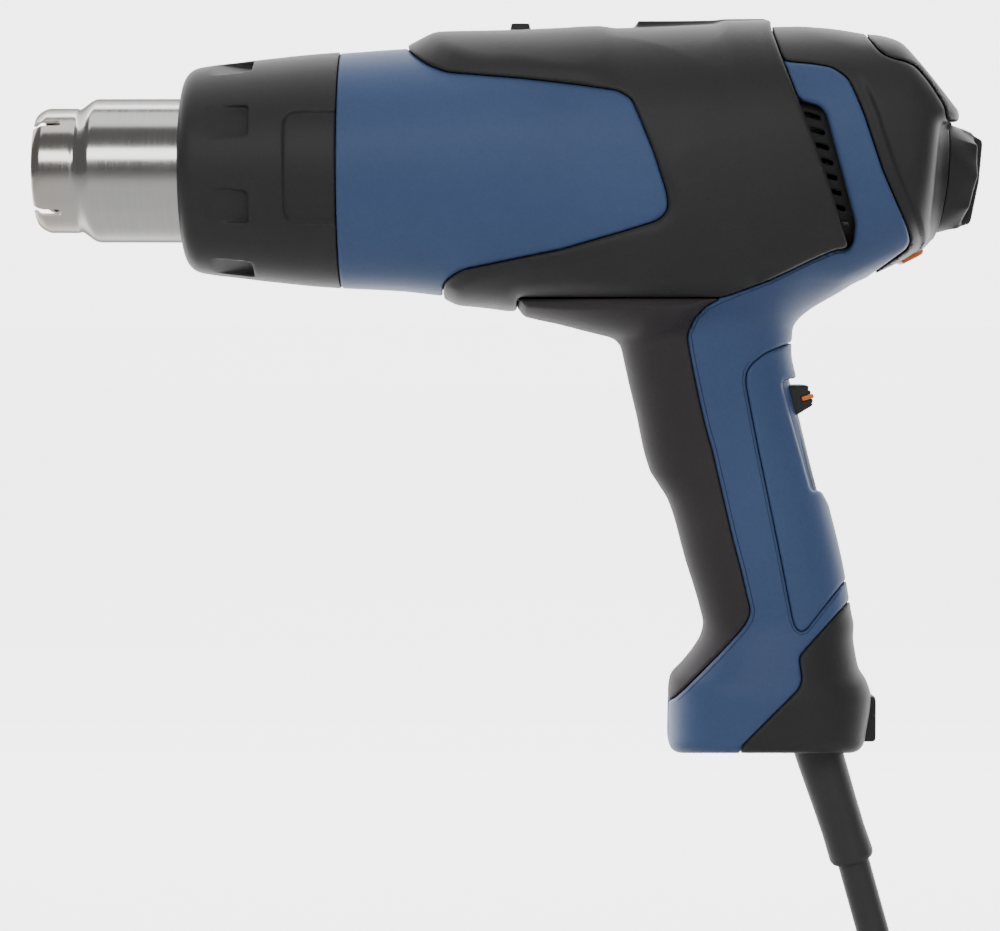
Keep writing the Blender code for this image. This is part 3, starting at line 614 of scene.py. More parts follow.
def cord_points():
    pts = []
    start = BOOT_START + BOOT_AXIS * (BOOT_LENGTH - 6)
    end = BOOT_START + BOOT_AXIS * BOOT_LENGTH
    low = Vector((38.7, 0.0, -120.0))
    for t in (0.0, 0.5, 1.0):
        pts.append(start.lerp(end, t))
    for t in (0.25, 0.5, 0.75, 1.0):
        pts.append(end.lerp(low, t))
    lead = []
    for i in range(1, 13):
        b = math.radians(15.6 - (15.6 + 64.0) * i / 12)
        lead.append(Vector((ARC_CENTRE.x + ARC_R * math.cos(b), 0,
                            ARC_CENTRE.z + ARC_R * math.sin(b))))
    pts += lead
    total = len(pts)
    for i in range(total):
        t = max(0.0, (i - 5) / (total - 6))
        pts[i] = Vector((pts[i].x, -13.2 * t * t * (3 - 2 * t), pts[i].z))
    sweep = 2 * math.pi * 6 + math.radians(64.0)
    count = int(sweep / math.radians(9))
    for i in range(1, count + 1):
        phi = sweep * i / count
        turn = int(phi / (2 * math.pi))
        part = phi - turn * 2 * math.pi
        r, y = coil_slot(turn)
        if turn < 6:
            r2, y2 = coil_slot(turn + 1)
            t = (part - math.radians(300)) / math.radians(60)
            t = min(1.0, max(0.0, t))
            t = t * t * (3 - 2 * t)
            r, y = r + (r2 - r) * t, y + (y2 - y) * t
        else:
            t = min(1.0, part / math.radians(64.0))
            t = t * t * (3 - 2 * t)
            r, y = r - 1.4 * t, y + (-22.4 - y) * t
        a = JOIN + phi
        pts.append(Vector((COIL_CENTRE.x + r * math.cos(a), y,
                           COIL_CENTRE.z + r * math.sin(a))))
    x = COIL_CENTRE.x - 46.8
    for dz in (8, 16, 24, 32, 40, 48, 54):
        pts.append(Vector((x, -22.4, COIL_CENTRE.z - dz)))
    return pts


route = cord_points()
cord = tube_curve("supply_cord", route, CORD_R, CORD, 7)
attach(cord, "body")
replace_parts(cord, "cord_tube", "cord_tail", "cord_coil")

plug_x = COIL_CENTRE.x - 46.8
plug_z = COIL_CENTRE.z - 42.3
plug = lathe("plug_body", fillet_profile([
    (0.01, 0), (5.6, 0), (5.9, -4), (6.1, -4.4), (6.1, -5.6), (5.9, -6),
    (6.1, -10), (6.4, -10.4), (6.4, -11.6), (6.2, -12), (6.6, -16),
    (9.5, -19.5), (12.6, -26), (13.3, -40), (12.9, -45), (12.0, -46),
    (0.01, -46)], 0.8, 4), (plug_x, -22.4, plug_z), (0, 0, 1), 64)
smooth(plug, 50)
finish(plug, CORD, "body", "mains_plug", slot="cord_rubber")
for i, dx in enumerate((-9.5, 9.5), 1):
    pin = lathe(f"plug_contact_{i}", fillet_profile([
        (0.01, -46.3), (2.3, -46.3), (2.3, -63.6), (1.4, -65.0),
        (0.01, -65.0)], 0.5, 4), (plug_x + dx, -22.4, plug_z), (0, 0, 1), 32)
    smooth(pin, 50)
    finish(pin, BRASS, "body", f"plug_pin_{i}", slot="brass")
tie_angle = math.radians(50)
tie_at = COIL_CENTRE + Vector((math.cos(tie_angle), 0,
                               math.sin(tie_angle))) * COIL_R
tie_m = (Matrix.Translation(tie_at * MM)
         @ Matrix.Rotation(-tie_angle, 4, "Y"))


def strap_loop(name, half_x, half_y, thick, width, matrix, radius=4.0):
    """A flat strap bent round a rectangle with rounded corners."""
    ring = []
    for cx, cy, a0 in ((1, 1, 0), (-1, 1, 90), (-1, -1, 180), (1, -1, 270)):
        for k in range(9):
            a = math.radians(a0 + 90 * k / 8)
            ring.append((cx * (half_x - radius), cy * (half_y - radius),
                         math.cos(a), math.sin(a)))
    pts, faces = [], []
    section = [(0, -width / 2 + 0.5), (0, width / 2 - 0.5),
               (0.25, width / 2), (thick - 0.25, width / 2),
               (thick, width / 2 - 0.5), (thick, -width / 2 + 0.5),
               (thick - 0.25, -width / 2), (0.25, -width / 2)]
    for bx, by, cx, cy in ring:
        for out, z in section:
            r = radius + out
            pts.append((bx + cx * r, by + cy * r, z))
    n, m = len(ring), len(section)
    for i in range(n):
        j = (i + 1) % n
        for k in range(m):
            l = (k + 1) % m
            faces.append((i * m + k, j * m + k, j * m + l, i * m + l))
    pts = np.array(pts)
    rot = np.array(matrix.to_3x3())
    pts = pts @ rot.T + np.array(matrix.translation) / MM
    obj = mesh_from(name, pts, faces)
    bm = bmesh.new()
    bm.from_mesh(obj.data)
    bmesh.ops.recalc_face_normals(bm, faces=bm.faces)
    bm.to_mesh(obj.data)
    bm.free()
    return smooth(obj, 40)


tie = strap_loop("hook_loop_tie", 9.0, 18.2, 1.3, 9.6, tie_m)
finish(tie, RUBBER, "body", "cord_tie", slot="cord_rubber")


# ----------------------------------------------------------- housing tables
# Barrel sections: x, top z, bottom z, half width, superellipse exponent.
BARREL = [
    (-108.1, 121.9, 57.8, 32.2, 2.0), (-92, 123.0, 57.0, 33.3, 2.05),
    (-81, 123.6, 55.8, 34.2, 2.1), (-70, 124.8, 54.6, 35.4, 2.2),
    (-59, 125.2, 52.3, 36.5, 2.25), (-48, 125.8, 50.4, 37.6, 2.3),
    (-37, 126.4, 47.9, 38.6, 2.4), (-26, 126.7, 46.2, 39.0, 2.45),
    (-10, 127.4, 45.6, 39.2, 2.5), (7, 128.5, 49.0, 38.8, 2.55),
    (18, 128.6, 54.0, 38.0, 2.6), (30, 128.7, 57.5, 37.3, 2.6),
    (40, 128.7, 61.8, 36.4, 2.6),
    (47, 127.0, 65.2, 34.2, 2.5), (54, 121.5, 68.0, 29.0, 2.4),
    (60.5, 114.0, 71.0, 20.0, 2.2),
]
COVER = [
    (-91.5, 123.5, 57.0, 33.4, 2.05), (-85.2, 127.3, 54.6, 35.2, 2.1),
    (-79, 127.8, 53.4, 36.0, 2.15), (-70, 127.9, 52.5, 37.0, 2.2),
    (-60.6, 128.0, 51.2, 37.9, 2.3), (-53.6, 128.3, 49.6, 38.8, 2.3),
    (-48, 128.5, 48.4, 39.3, 2.35), (-42.6, 128.8, 47.0, 39.8, 2.4),
    (-37, 129.0, 45.6, 40.2, 2.4), (-31, 129.4, 44.2, 40.6, 2.4),
    (-26, 129.7, 43.4, 40.8, 2.45), (-10, 130.0, 43.6, 41.1, 2.5),
    (7, 130.2, 48.0, 41.1, 2.55), (28, 130.2, 56.0, 40.4, 2.6),
]
# Handle sections: z, front x, rear x, half width, exponent.
HANDLE = [
    (58.0, -36, 26.5, 24, 2.3), (46.4, -32.5, 15.5, 20.5, 2.2),
    (40.9, -31.2, 15.2, 19.2, 2.2), (32.7, -29.4, 16.8, 18.5, 2.2),
    (24.4, -27.4, 19.0, 18.2, 2.2), (7.9, -23.4, 23.1, 18, 2.2),
    (3.8, -20.9, 24.2, 18, 2.2),
    (-0.3, -18.4, 25.3, 18, 2.2), (-16.8, -13.5, 29.4, 17.6, 2.2),
    (-30.6, -9.35, 31.9, 17.8, 2.2), (-34.7, -8.5, 32.6, 18.4, 2.2),
    (-37.6, -9.0, 32.4, 19.2, 2.25), (-41.6, -11.1, 32.9, 20.2, 2.3),
    (-45.7, -14.2, 33.7, 21.4, 2.4), (-49.8, -17.5, 36.0, 22.5, 2.5),
    (-53.4, -18.0, 37.0, 23.1, 2.5),
    (-64.9, -18.15, 35.4, 23.5, 2.6), (-71.4, -17.9, 34.4, 22.6, 2.6),
]
COVER_LINE = [
    (-91.4, 140), (-90.3, 121.6), (-88.3, 118.3), (-84, 115), (-79.2, 113.1),
    (-59.5, 111.5), (-45.3, 109.9), (-34, 108.3), (-30.4, 106.1),
    (-27.8, 100.1), (-24.5, 92.1), (-21.1, 81.6), (-20.6, 77.7),
    (-21.5, 75.6), (-23.6, 73.8), (-31.5, 71.3), (-48.7, 66.3),
    (-71.4, 61.6), (-74.9, 60.9), (-77.8, 59.3), (-80.3, 57.0), (-79.4, 46),
    (-60.6, 46), (-60.6, 53.8), (-6.4, 53.8), (0.2, 56.1),
    (6.4, 58.5), (11.9, 61.1), (17.2, 63.7), (23.5, 66.4), (27, 66.8),
    (24.9, 73.1), (21.7, 83.7), (18, 93.9), (13.4, 105.8), (9.7, 115.9),
    (8.6, 127.7), (8.3, 140),
]
GRIP_LINE = [
    (-60.3, 30), (-60.3, 53.5), (-6.6, 53.5), (-10.4, 51.8), (-13.3, 48.6),
    (-14.9, 44.3), (-14, 40.3), (-12.9, 34.9), (-11.2, 26.8), (-9.3, 18.8),
    (-7.7, 13.4), (-5.8, 5.3), (-3.9, -2.8), (-2, -10.9), (0.2, -19),
    (2.1, -27.1), (2.9, -30.1), (2.3, -32.5), (0.5, -35.2), (-4.6, -40.7),
    (-10, -46.1), (-15.7, -51.7), (-19, -54.4), (-50, -54.4), (-50, 30),
]
BACK_LINE = [
    (16.0, 43.2), (8.2, 39.9), (4.7, 37.0), (3.3, 34.9), (3.0, 31.9),
    (4.7, 23.1), (6.9, 12.1), (10.2, -3.6), (12.9, -16.5), (16.2, -33.3),
    (17.0, -35.6), (18.3, -36.8), (19.8, -36.3), (30.2, -22.8), (62, 4.6),
    (62, 43.2),
]
BASE_LINE = [
    (60, -12.6), (42.6, -12.6), (29.8, -27.4), (17.0, -41.4), (15.9, -43.0),
    (16.6, -48.6), (16.2, -50.1), (15.2, -51.9), (0.4, -66.7), (-0.1, -68.6),
    (-0.1, -78), (60, -78),
]
REAR_LINE = [
    (8.4, 140), (8.7, 127.7), (9.8, 116.2), (17.2, 115.5), (22.6, 114.5),
    (26.6, 111.5), (28.8, 107.1), (30.9, 102.1), (36, 87), (42.4, 72.4),
    (43.4, 68.5), (42.3, 66.3), (32, 58.8), (30, 50), (78, 50), (78, 140),
]
CAP_LINE = [
    (34.9, 142), (34.9, 128.1), (37.1, 125.4), (39.9, 122.2), (42.6, 121.0),
    (46.7, 119.9), (49.2, 118.7), (53.0, 114.4), (57.4, 107.6),
    (58.0, 103.2), (80, 103.2), (80, 142),
]
INLET_LINE = [
    (12.2, 105.8), (19, 104.2), (20.8, 102.1), (25, 86.9), (28.7, 73.2),
    (28.1, 68), (26.7, 66.4), (25.5, 66.4), (23.4, 73.1), (20.2, 83.7),
    (16.5, 93.9),
]
REAR_TRIM = [
    (20, 133), (34.4, 128.2), (39.9, 127.5), (45.4, 125.3), (50.9, 119.2),
    (56.4, 112.4), (61.0, 106.4), (61.0, 103.9), (56.0, 103.6),
    (53.2, 71.9), (52.6, 69.1), (51.4, 67.3), (46.9, 64.3), (33, 57.7),
    (20, 40), (78, 40), (78, 133),
]
TROUGH_LINE = [
    (12.7, 32.2), (15.1, 23.3), (21.2, 1.9), (23.7, 2.3), (26.3, -1.7),
    (40, -1.7), (40, 33.2), (16, 33.2),
]
SCREWS = [(-12.0, 57.2), (36.0, 79.0), (-5.2, 20.0), (5.5, -18.0),
          (-6.0, -60.0)]
SCREW_SEATS = [21, 30, 13, 12, 17]
LENS_AREA = [(44.9, 60.0), (44.9, 67.4), (49.6, 70.3), (51.9, 66.0)]
GAP = 0.2
WALL = 2.3

barrel_at, cover_at = table(BARREL), table(COVER)
handle_at = table(HANDLE)


REACH_AT = table([(-75, 22), (-50, 21), (-30, 17), (38, 17), (56, 34),
                  (112, 34), (121, 26), (128, 9), (142, 6)])


def spread(points):
    """Outlines are drawn on the skin; carry them to the middle plane."""
    out = []
    for x, z in points:
        m = 907.5 / (907.5 - float(REACH_AT(np.array([float(z)]))[0][0]))
        out.append((VIEW_X + (x - VIEW_X) * m, 9.3 + (z - 9.3) * m))
    return out


def drafted(outline_at):
    """An outline whose cut narrows toward the sides, like a mould's draft."""
    def at(x, y, z):
        m = LENS_D / (LENS_D - np.abs(y))
        return outline_at(VIEW_X + (x - VIEW_X) * m,
                          VIEW_Z + (z - VIEW_Z) * m) / m
    return at


in_cover = drafted(plan(rounded(spread(COVER_LINE), 1.6)))
in_grip = drafted(plan(rounded(spread(GRIP_LINE), 1.6, (0, 1))))
in_back = drafted(plan(rounded(BACK_LINE, 1.2)))
in_base = drafted(plan(rounded(spread(BASE_LINE), 1.6)))
in_rear = drafted(plan(rounded(spread(REAR_LINE), 1.8)))
in_cap = drafted(plan(rounded(CAP_LINE, 2.0)))
in_inlet = drafted(plan(rounded(spread(INLET_LINE), 1.6)))
in_trim = drafted(plan(rounded(REAR_TRIM, 2.2)))
in_trough = drafted(plan(rounded(TROUGH_LINE, 1.4)))
in_lens = plan(rounded(LENS_AREA, 1.0))


def section(u, v, hu, hv, n):
    """First-order distance to a superellipse of half sizes hu, hv."""
    u, v = np.abs(u) / hu, np.abs(v) / hv
    u = np.maximum(u, 1e-6)
    v = np.maximum(v, 1e-6)
    lu, lv = np.log(u), np.log(v)
    rho = np.exp(np.log(np.exp(n * lu) + np.exp(n * lv)) / n)
    lr = np.log(rho)
    gu = np.exp((n - 1) * (lu - lr)) / hu
    gv = np.exp((n - 1) * (lv - lr)) / hv
    return (rho - 1) / np.sqrt(gu * gu + gv * gv)


def barrel_field(x, y, z, at=None, inset=0.0):
    top, low, half, n = (at or barrel_at)(x)
    return section(y, z - (top + low) / 2, half - inset,
                   (top - low) / 2 - inset, n)


def handle_field(x, y, z):
    front, rear, half, n = handle_at(z)
    h = section(x - (front + rear) / 2, y, (rear - front) / 2, half, n)
    m = LENS_D / (LENS_D - np.abs(y))
    floor = (-70.5 - VIEW_Z) / m + VIEW_Z - z
    return smax(np.maximum(h, z - 64.0), floor, 4.0)


def core(x, y, z):
    """Outer form of the housing without the raised cover."""
    b = smax(barrel_field(x, y, z), -108.1 - x, 0.5)
    k = 3.0 + 3.0 * step(-16, 8, x)
    c = smin(b, handle_field(x, y, z), k)
    return smax(c, -in_trim(x, y, z), 5.0)


def cover_form(x, y, z):
    """Raised cover: full form, eased down to a low step at its edges."""
    base = core(x, y, z)
    c = barrel_field(x, y, z, cover_at)
    c = smin(c, handle_field(x, y, z), 3.0 + 3.0 * step(-16, 8, x))
    d = np.maximum(-in_cover(x, y, z), 0.0)
    wide = step(-47, -33, x) * (1 - step(-8, 2, x)) * step(84, 97, z)
    slope = 0.42 - 0.33 * wide
    eased = base - (0.75 + slope * d)
    # Toward the inlet the rear edge stays proud.
    rear = step(0.0, 8.0, x)
    eased = eased * (1 - rear) + (base - 3.2) * rear
    c = smax(c, eased, 0.6)
    # Flat ridge and small tab along the top.
    ridge = smax(np.abs(y) - 7.0, np.maximum(-27.6 - x, z - 130.1), 0.6)
    ridge = smax(ridge, x - 6.4, 0.8)
    ridge = np.maximum(ridge, 120.0 - z)
    tab = smax(np.abs(x + 59.2) - 2.6, np.abs(y) - 4.0, 0.8)
    tab = np.maximum(smax(tab, z - 129.9, 0.6), 120.0 - z)
    return smin(smin(c, ridge, 2.2), tab, 1.0)


def grip_form(x, y, z):
    base = core(x, y, z)
    c = smin(barrel_field(x, y, z, cover_at, -0.6), handle_field(x, y, z),
             3.0 + 3.0 * step(-16, 8, x))
    d = np.maximum(-in_grip(x, y, z), 0.0)
    return smax(c, base - (0.05 + 1.1 * d), 0.8)


def hole(x, z, at, radius):
    return radius - np.sqrt((x - at[0]) ** 2 + (z - at[1]) ** 2)


def bores(x, y, z):
    """Positive inside the openings for the tube, the dial and the cord."""
    tube_hole = np.where(x < -96, 20.3 - np.sqrt(
        y ** 2 + (z - BARREL_Z) ** 2), -9.0)
    dx, dz = x - 54.6, z - 88.1
    ax, az = 0.9962, -0.0872
    s = dx * ax + dz * az
    r = np.sqrt((dx - s * ax) ** 2 + y ** 2 + (dz - s * az) ** 2)
    dial_hole = np.where(np.abs(s) < 12, 3.7 - r, -9.0)
    bx, bz = x - 23.65, z + 70.8
    ex, ez = BOOT_AXIS.x, BOOT_AXIS.z
    s = bx * ex + bz * ez
    r = np.sqrt((bx - s * ex) ** 2 + y ** 2 + (bz - s * ez) ** 2)
    boot_hole = np.where(np.abs(s) < 12, 6.8 - r, -9.0)
    return np.maximum(np.maximum(tube_hole, dial_hole), boot_hole)


def blue_field(screwed):
    def field(x, y, z):
        c = core(x, y, z)
        cov, grp = in_cover(x, y, z), in_grip(x, y, z)
        others = np.maximum(GAP - in_back(x, y, z), GAP - in_base(x, y, z))
        others = np.maximum(others, GAP - in_rear(x, y, z))
        area = np.maximum(others, np.maximum(GAP - cov, GAP - grp))
        f = smax(smax(c, area, 0.6), -in_inlet(x, y, z), 2.2)
        inner = -(c + WALL)
        f = np.maximum(f, inner)
        reach = np.maximum(-3.2 - cov, -3.2 - grp)
        reach = np.maximum(reach, -3.2 - in_base(x, y, z))
        reach = np.maximum(reach, GAP - in_rear(x, y, z))
        reach = np.maximum(reach, -in_inlet(x, y, z))
        tongue = np.maximum(np.maximum(c + 2.1, reach), -(c + 3.5))
        tongue = np.maximum(tongue, -in_trough(x, y, z) - 3.0)
        f = np.minimum(f, tongue)
        f = np.maximum(f, bores(x, y, z))
        if screwed:
            for at in SCREWS:
                f = smax(f, hole(x, z, at, 3.4), 0.5)
        return np.maximum(f, 0.15 - y)
    return field


def cover_field(screwed):
    def field(x, y, z):
        c = core(x, y, z)
        f = smax(cover_form(x, y, z), in_cover(x, y, z), 0.9)
        f = np.maximum(f, -(c + 1.8))
        if screwed:
            f = smax(f, hole(x, z, SCREWS[0], 3.4), 0.5)
        return np.maximum(f, 0.15 - y)
    return field


def grip_field(x, y, z):
    f = smax(grip_form(x, y, z), in_grip(x, y, z), 0.7)
    return np.maximum(f, -(core(x, y, z) + 1.8))


def on_track(x, z):
    """Along the slide and out of it."""
    a = (x - 15.4) * 0.274 - (z - 23.3) * 0.962
    o = (x - 15.4) * 0.962 + (z - 23.3) * 0.274
    return a, o


def back_field(x, y, z):
    c = smax(core(x, y, z), -in_trough(x, y, z), 0.9)
    f = smax(c, in_back(x, y, z), 0.6)
    f = np.maximum(f, -(c + WALL))
    a, o = on_track(x, z)
    pocket = np.minimum(np.minimum(a - 1.2, 21.4 - a),
                        np.minimum(7.3 - np.abs(y),
                                   np.minimum(o + 1.2, 3.0 - o)))
    slot = np.minimum(np.minimum(a + 4.6, 17.0 - a),
                      np.minimum(2.0 - np.abs(y), o + 9))
    return np.maximum(f, np.maximum(pocket, slot))


def base_field(x, y, z):
    c = core(x, y, z)
    f = smax(c, in_base(x, y, z), 0.7)
    f = np.maximum(f, -(c + 1.8))
    pocket = np.minimum(x - 32.4, np.minimum(
        6.6 - np.abs(y), np.minimum(z + 66.9, -53.3 - z)))
    return np.maximum(smax(f, pocket, 0.6), bores(x, y, z))


def rear_form(x, y, z):
    """Rear cover with a sunk strip beside the blue band."""
    c = core(x, y, z)
    d = -in_rear(x, y, z)
    strip = (1 - step(2.6, 4.2, d)) * step(64, 74, z) * (
        1 - step(104, 116, z)) * (x < 48)
    return c + 1.2 * strip


def collar(x, y, z):
    """Conical seat of the dial."""
    dx, dz = x - 54.6, z - 88.1
    s = dx * 0.9962 - dz * 0.0872
    r = np.sqrt(y * y + (dx * 0.0872 + dz * 0.9962) ** 2)
    wide = 15.4 + 0.4 * np.clip(-s, 0.0, 7.0)
    return smax(smax(r - wide, s - 0.1, 0.3), -7.0 - s, 0.2)


def rear_field(x, y, z):
    c = core(x, y, z)
    f = smax(rear_form(x, y, z), in_rear(x, y, z), 0.7)
    f = np.maximum(f, -(c + 3.0))
    lens = np.maximum(in_lens(x, z), np.abs(y) - 5.0) - GAP
    f = smax(f, -lens, 0.4)
    f = smin(f, collar(x, y, z), 5.0)
    f = smax(f, GAP - in_cap(x, y, z), 0.6)
    return np.maximum(f, bores(x, y, z))


def rear_right(x, y, z):
    f = rear_field(x, y, z)
    cut = np.where(y > 0, hole(x, z, SCREWS[1], 3.4), -5.0)
    return smax(f, cut, 0.5)


def cap_field(x, y, z):
    c = core(x, y, z)
    f = smin(c, collar(x, y, z), 5.0)
    f = smax(smax(f, in_cap(x, y, z), 0.6), in_rear(x, y, z), 0.6)
    return np.maximum(f, -(c + WALL))


def lens_field(x, y, z):
    c = core(x, y, z)
    f = smax(c - 1.1, smax(in_lens(x, z), np.abs(y) - 4.6, 0.8), 1.0)
    return np.maximum(f, -(c + WALL))


def wall_piece(name, field, low, high, mat, nodes, slot, cell=None,
               mirror=False):
    obj = tidy(level_mesh(name, field, low, high, cell, mirror))
    return finish(obj, mat, "body", *nodes, slot=slot)


BLUE_CELL = 0.72
wall_piece("housing_shell_left", blue_field(False), (-109, 0, -71.5),
           (62, 42, 130), BLUE, ["housing_left"], "blue_plastic", BLUE_CELL,
           mirror=True)
wall_piece("housing_shell_right", blue_field(True), (-109, 0, -71.5),
           (62, 42, 130), BLUE, ["housing_right"], "blue_plastic", BLUE_CELL)
wall_piece("barrel_cover_left", cover_field(False), (-92, 0, 44),
           (29, 43, 131.2), BLACK, ["cover_left"], "black_plastic",
           mirror=True)
wall_piece("barrel_cover_right", cover_field(True), (-92, 0, 44),
           (29, 43, 131.2), BLACK, ["cover_right"], "black_plastic")
wall_piece("soft_front_grip", grip_field, (-61, -36, -55), (4, 36, 54.5),
           RUBBER, ["front_grip"], "grip_rubber")
wall_piece("handle_back_panel", back_field, (-5, -20, -38), (37, 20, 45),
           BLUE, ["handle_back_cover"], "blue_plastic")
wall_piece("cable_base_shell", base_field, (-4, -24.5, -71.4),
           (39, 24.5, -26.0), BLACK, ["cable_base"], "black_plastic")
wall_piece("rear_housing_cover", rear_right, (2, -40, 50), (62, 40, 130),
           BLACK, ["rear_cover"], "black_plastic")
wall_piece("rear_end_cap", cap_field, (26, -39, 97), (62, 39, 130),
           BLACK, ["rear_cap"], "black_plastic")
wall_piece("indicator_window", lens_field, (43, -6, 60), (55, 6, 72),
           ORANGE, ["indicator_lens"], "orange_plastic",
           0.4)

# ----------------------------------------------------- sleeve and outlet
SLEEVE = [
    (-151.0, 27.3), (-147.1, 27.97), (-141.6, 28.8), (-136.1, 29.4),
    (-130.6, 30.1), (-125.1, 30.7), (-119.6, 31.3), (-114.1, 31.8),
    (-108.5, 32.2), (-107.0, 32.3),
]
sleeve_at = table(SLEEVE)


def side_panel(x, y, z):
    """0 to 1 inside the flat panel on each side of the sleeve."""
    qx, qz = -118.5 - x, np.abs(z - 88.9) - 11.0
    d = (np.sqrt(np.maximum(qx, 0) ** 2 + np.maximum(qz, 0) ** 2)
         + np.minimum(np.maximum(qx, qz), 0) - 4.0)
    return (1 - step(-1.1, 0.0, d)) * (np.abs(y) > 12)


def sleeve_field(x, y, z):
    dz = z - BARREL_Z
    r = np.sqrt(y * y + dz * dz)
    radius = sleeve_at(x)[0]
    f = r - radius + 1.0 * side_panel(x, y, z)
    f = smax(f, -150.6 - x, 5.0)
    f = smax(f, x + 108.35, 0.4)
    for k in range(8):
        a = math.radians(22.5 + 45 * k)
        out = y * math.cos(a) + dz * math.sin(a)
        across = -y * math.sin(a) + dz * math.cos(a)
        q1, q2 = np.abs(x + 136.9) - 4.2, np.abs(across) - 3.2
        d = (np.sqrt(np.maximum(q1, 0) ** 2 + np.maximum(q2, 0) ** 2)
             + np.minimum(np.maximum(q1, q2), 0) - 1.4)
        floor = radius - 0.1 - 2.0 * np.clip((x + 142.8) / 11.4, 0, 1)
        f = smax(f, -smax(d, floor - out, 0.4), 0.35)
    cave = np.where(x < -147.6, 20.6, radius - 3.3)
    return np.maximum(f, cave - r)


sleeve = tidy(level_mesh("heat_guard_sleeve", sleeve_field, (-151, -33, 57),
                         (-108, 33, 123), 0.5))
finish(sleeve, BLACK, "sleeve", "protective_sleeve", slot="black_plastic")


def carve(obj, *tools):
    for tool in tools:
        mod = obj.modifiers.new("cut", "BOOLEAN")
        mod.operation, mod.solver, mod.object = "DIFFERENCE", "EXACT", tool
    bpy.context.view_layer.update()
    deps = bpy.context.evaluated_depsgraph_get()
    mesh = bpy.data.meshes.new_from_object(obj.evaluated_get(deps))
    obj.modifiers.clear()
    obj.data = mesh
    for tool in tools:
        bpy.data.objects.remove(tool, do_unlink=True)
    return obj


tube = lathe("hot_air_outlet", fillet_profile([
    (14.7, -190.5), (15.3, -190.6), (16.2, -189.6), (17.0, -187.9),
    (17.0, -180.2), (16.7, -179.3), (17.3, -178.2), (19.0, -175.9),
    (19.6, -174.6), (19.7, -105.2), (26.0, -105.2), (26.0, -103.9),
    (18.8, -103.9), (18.8, -174.6), (16.1, -178.4), (16.1, -188.6),
    (14.9, -189.6)], 0.7, 4), (0, 0, BARREL_Z), (1, 0, 0), 160)
cutters = []
for k in range(4):
    turn = (Matrix.Translation((0, 0, BARREL_Z * MM))
            @ Matrix.Rotation(math.pi / 4 + k * math.pi / 2, 4, "X"))
    bm = bmesh.new()
    ring = []
    for i in range(13):
        a = -math.pi / 2 + math.pi * i / 12
        ring.append((-183.9 + 1.05 * math.cos(a), 1.05 * math.sin(a)))
    ring += [(-196, 1.05), (-196, -1.05)]
    lo = [bm.verts.new((x * MM, y * MM, 10 * MM)) for x, y in ring]
    hi = [bm.verts.new((x * MM, y * MM, 25 * MM)) for x, y in ring]
    bm.faces.new(lo[::-1])
    bm.faces.new(hi)
    for i in range(len(ring)):
        j = (i + 1) % len(ring)
        bm.faces.new((lo[i], lo[j], hi[j], hi[i]))
    bmesh.ops.transform(bm, matrix=turn, verts=bm.verts)
    bmesh.ops.recalc_face_normals(bm, faces=bm.faces)
    mesh = bpy.data.meshes.new(f"slot_{k}")
    bm.to_mesh(mesh)
    bm.free()
    cutter = bpy.data.objects.new(f"slot_{k}", mesh)
    bpy.context.scene.collection.objects.link(cutter)
    cutters.append(cutter)
carve(tube, *cutters)
smooth(tube, 28)
finish(tube, STEEL, "body", "outlet_tube", slot="steel")

# -------------------------------------------------------------------- dial
AX = np.array((0.9962, 0.0, -0.0872))
AZ = np.array((0.0872, 0.0, 0.9962))


def dial_field(x, y, z):
    dx, dz = x - 54.6, z - 88.1
    s = dx * AX[0] + dz * AX[2]
    u = dx * AZ[0] + dz * AZ[2]
    r = np.sqrt(y * y + u * u)
    ang = np.arctan2(y, u)
    t = np.clip(s / 9.0, 0, 1)
    flute = np.abs(np.sin(4.5 * ang + 0.55))
    radius = 15.5 - 0.27 * s - 1.5 * t * t * flute
    f = (r - radius) * 0.95
    slant = 0.12 * np.maximum(-u, 0)
    f = smax(f, s - 8.8 + slant, 0.8)
    f = smax(f, -np.maximum(8.0 - s, r - 9.0), 0.5)
    bar = smax(np.abs(y) - (4.0 - 0.35 * (s - 6.0)),
               np.abs(u) - (12.3 - 0.38 * (s - 9.0)), 1.2)
    bar = smax(bar, s - 11.9 + slant, 0.9)
    bar = np.maximum(bar, 6.0 - s)
    notch = np.maximum(np.abs(y) - 0.6, np.maximum(4.5 - u, 11.6 - s))
    bar = smax(bar, -notch, 0.2)
    f = smin(f, bar, 0.7)
    f = smax(f, 0.4 - s, 0.3)
    return f


dial = tidy(level_mesh("temperature_knob", dial_field, (54, -16.5, 70),
                       (69, 16.5, 106), 0.32))
finish(dial, BLACK, "dial", "temperature_dial", slot="black_plastic")

# ------------------------------------------------- stage switch and track
TRACK = (Matrix.Translation(Vector((15.4, 0, 23.3)) * MM)
         @ Matrix(((0.274, 0, 0.962), (0, 1, 0),
                   (-0.962, 0, 0.274))).to_4x4())


def slider_field(x, y, z):
    a, o = on_track(x, z)
    # A keystone: long at the foot, short where the thumb rests.
    f = smax(np.abs(a + 3.95) - (4.3 - 0.26 * (o - 0.4)),
             np.abs(y) - (7.0 - 0.16 * o), 1.2)
    f = smax(f, o - 6.1, 1.0)
    f = smax(f, 0.35 - o, 0.3)
    for k in range(3):
        f = smax(f, 0.35 - np.sqrt((a + 5.6 - 2.0 * k) ** 2 * 1.4
                                   + (o - 6.0) ** 2) + 0.1, 0.2)
    seat = np.maximum(np.abs(a + 3.6) - 0.75, 2.9 - o)
    f = smax(f, -seat, 0.2)
    stem = np.maximum(np.maximum(np.abs(a + 2.6) - 1.6, np.abs(y) - 1.5),
                      np.maximum(-5.2 - o, o - 1.0))
    return smin(f, stem, 0.3)


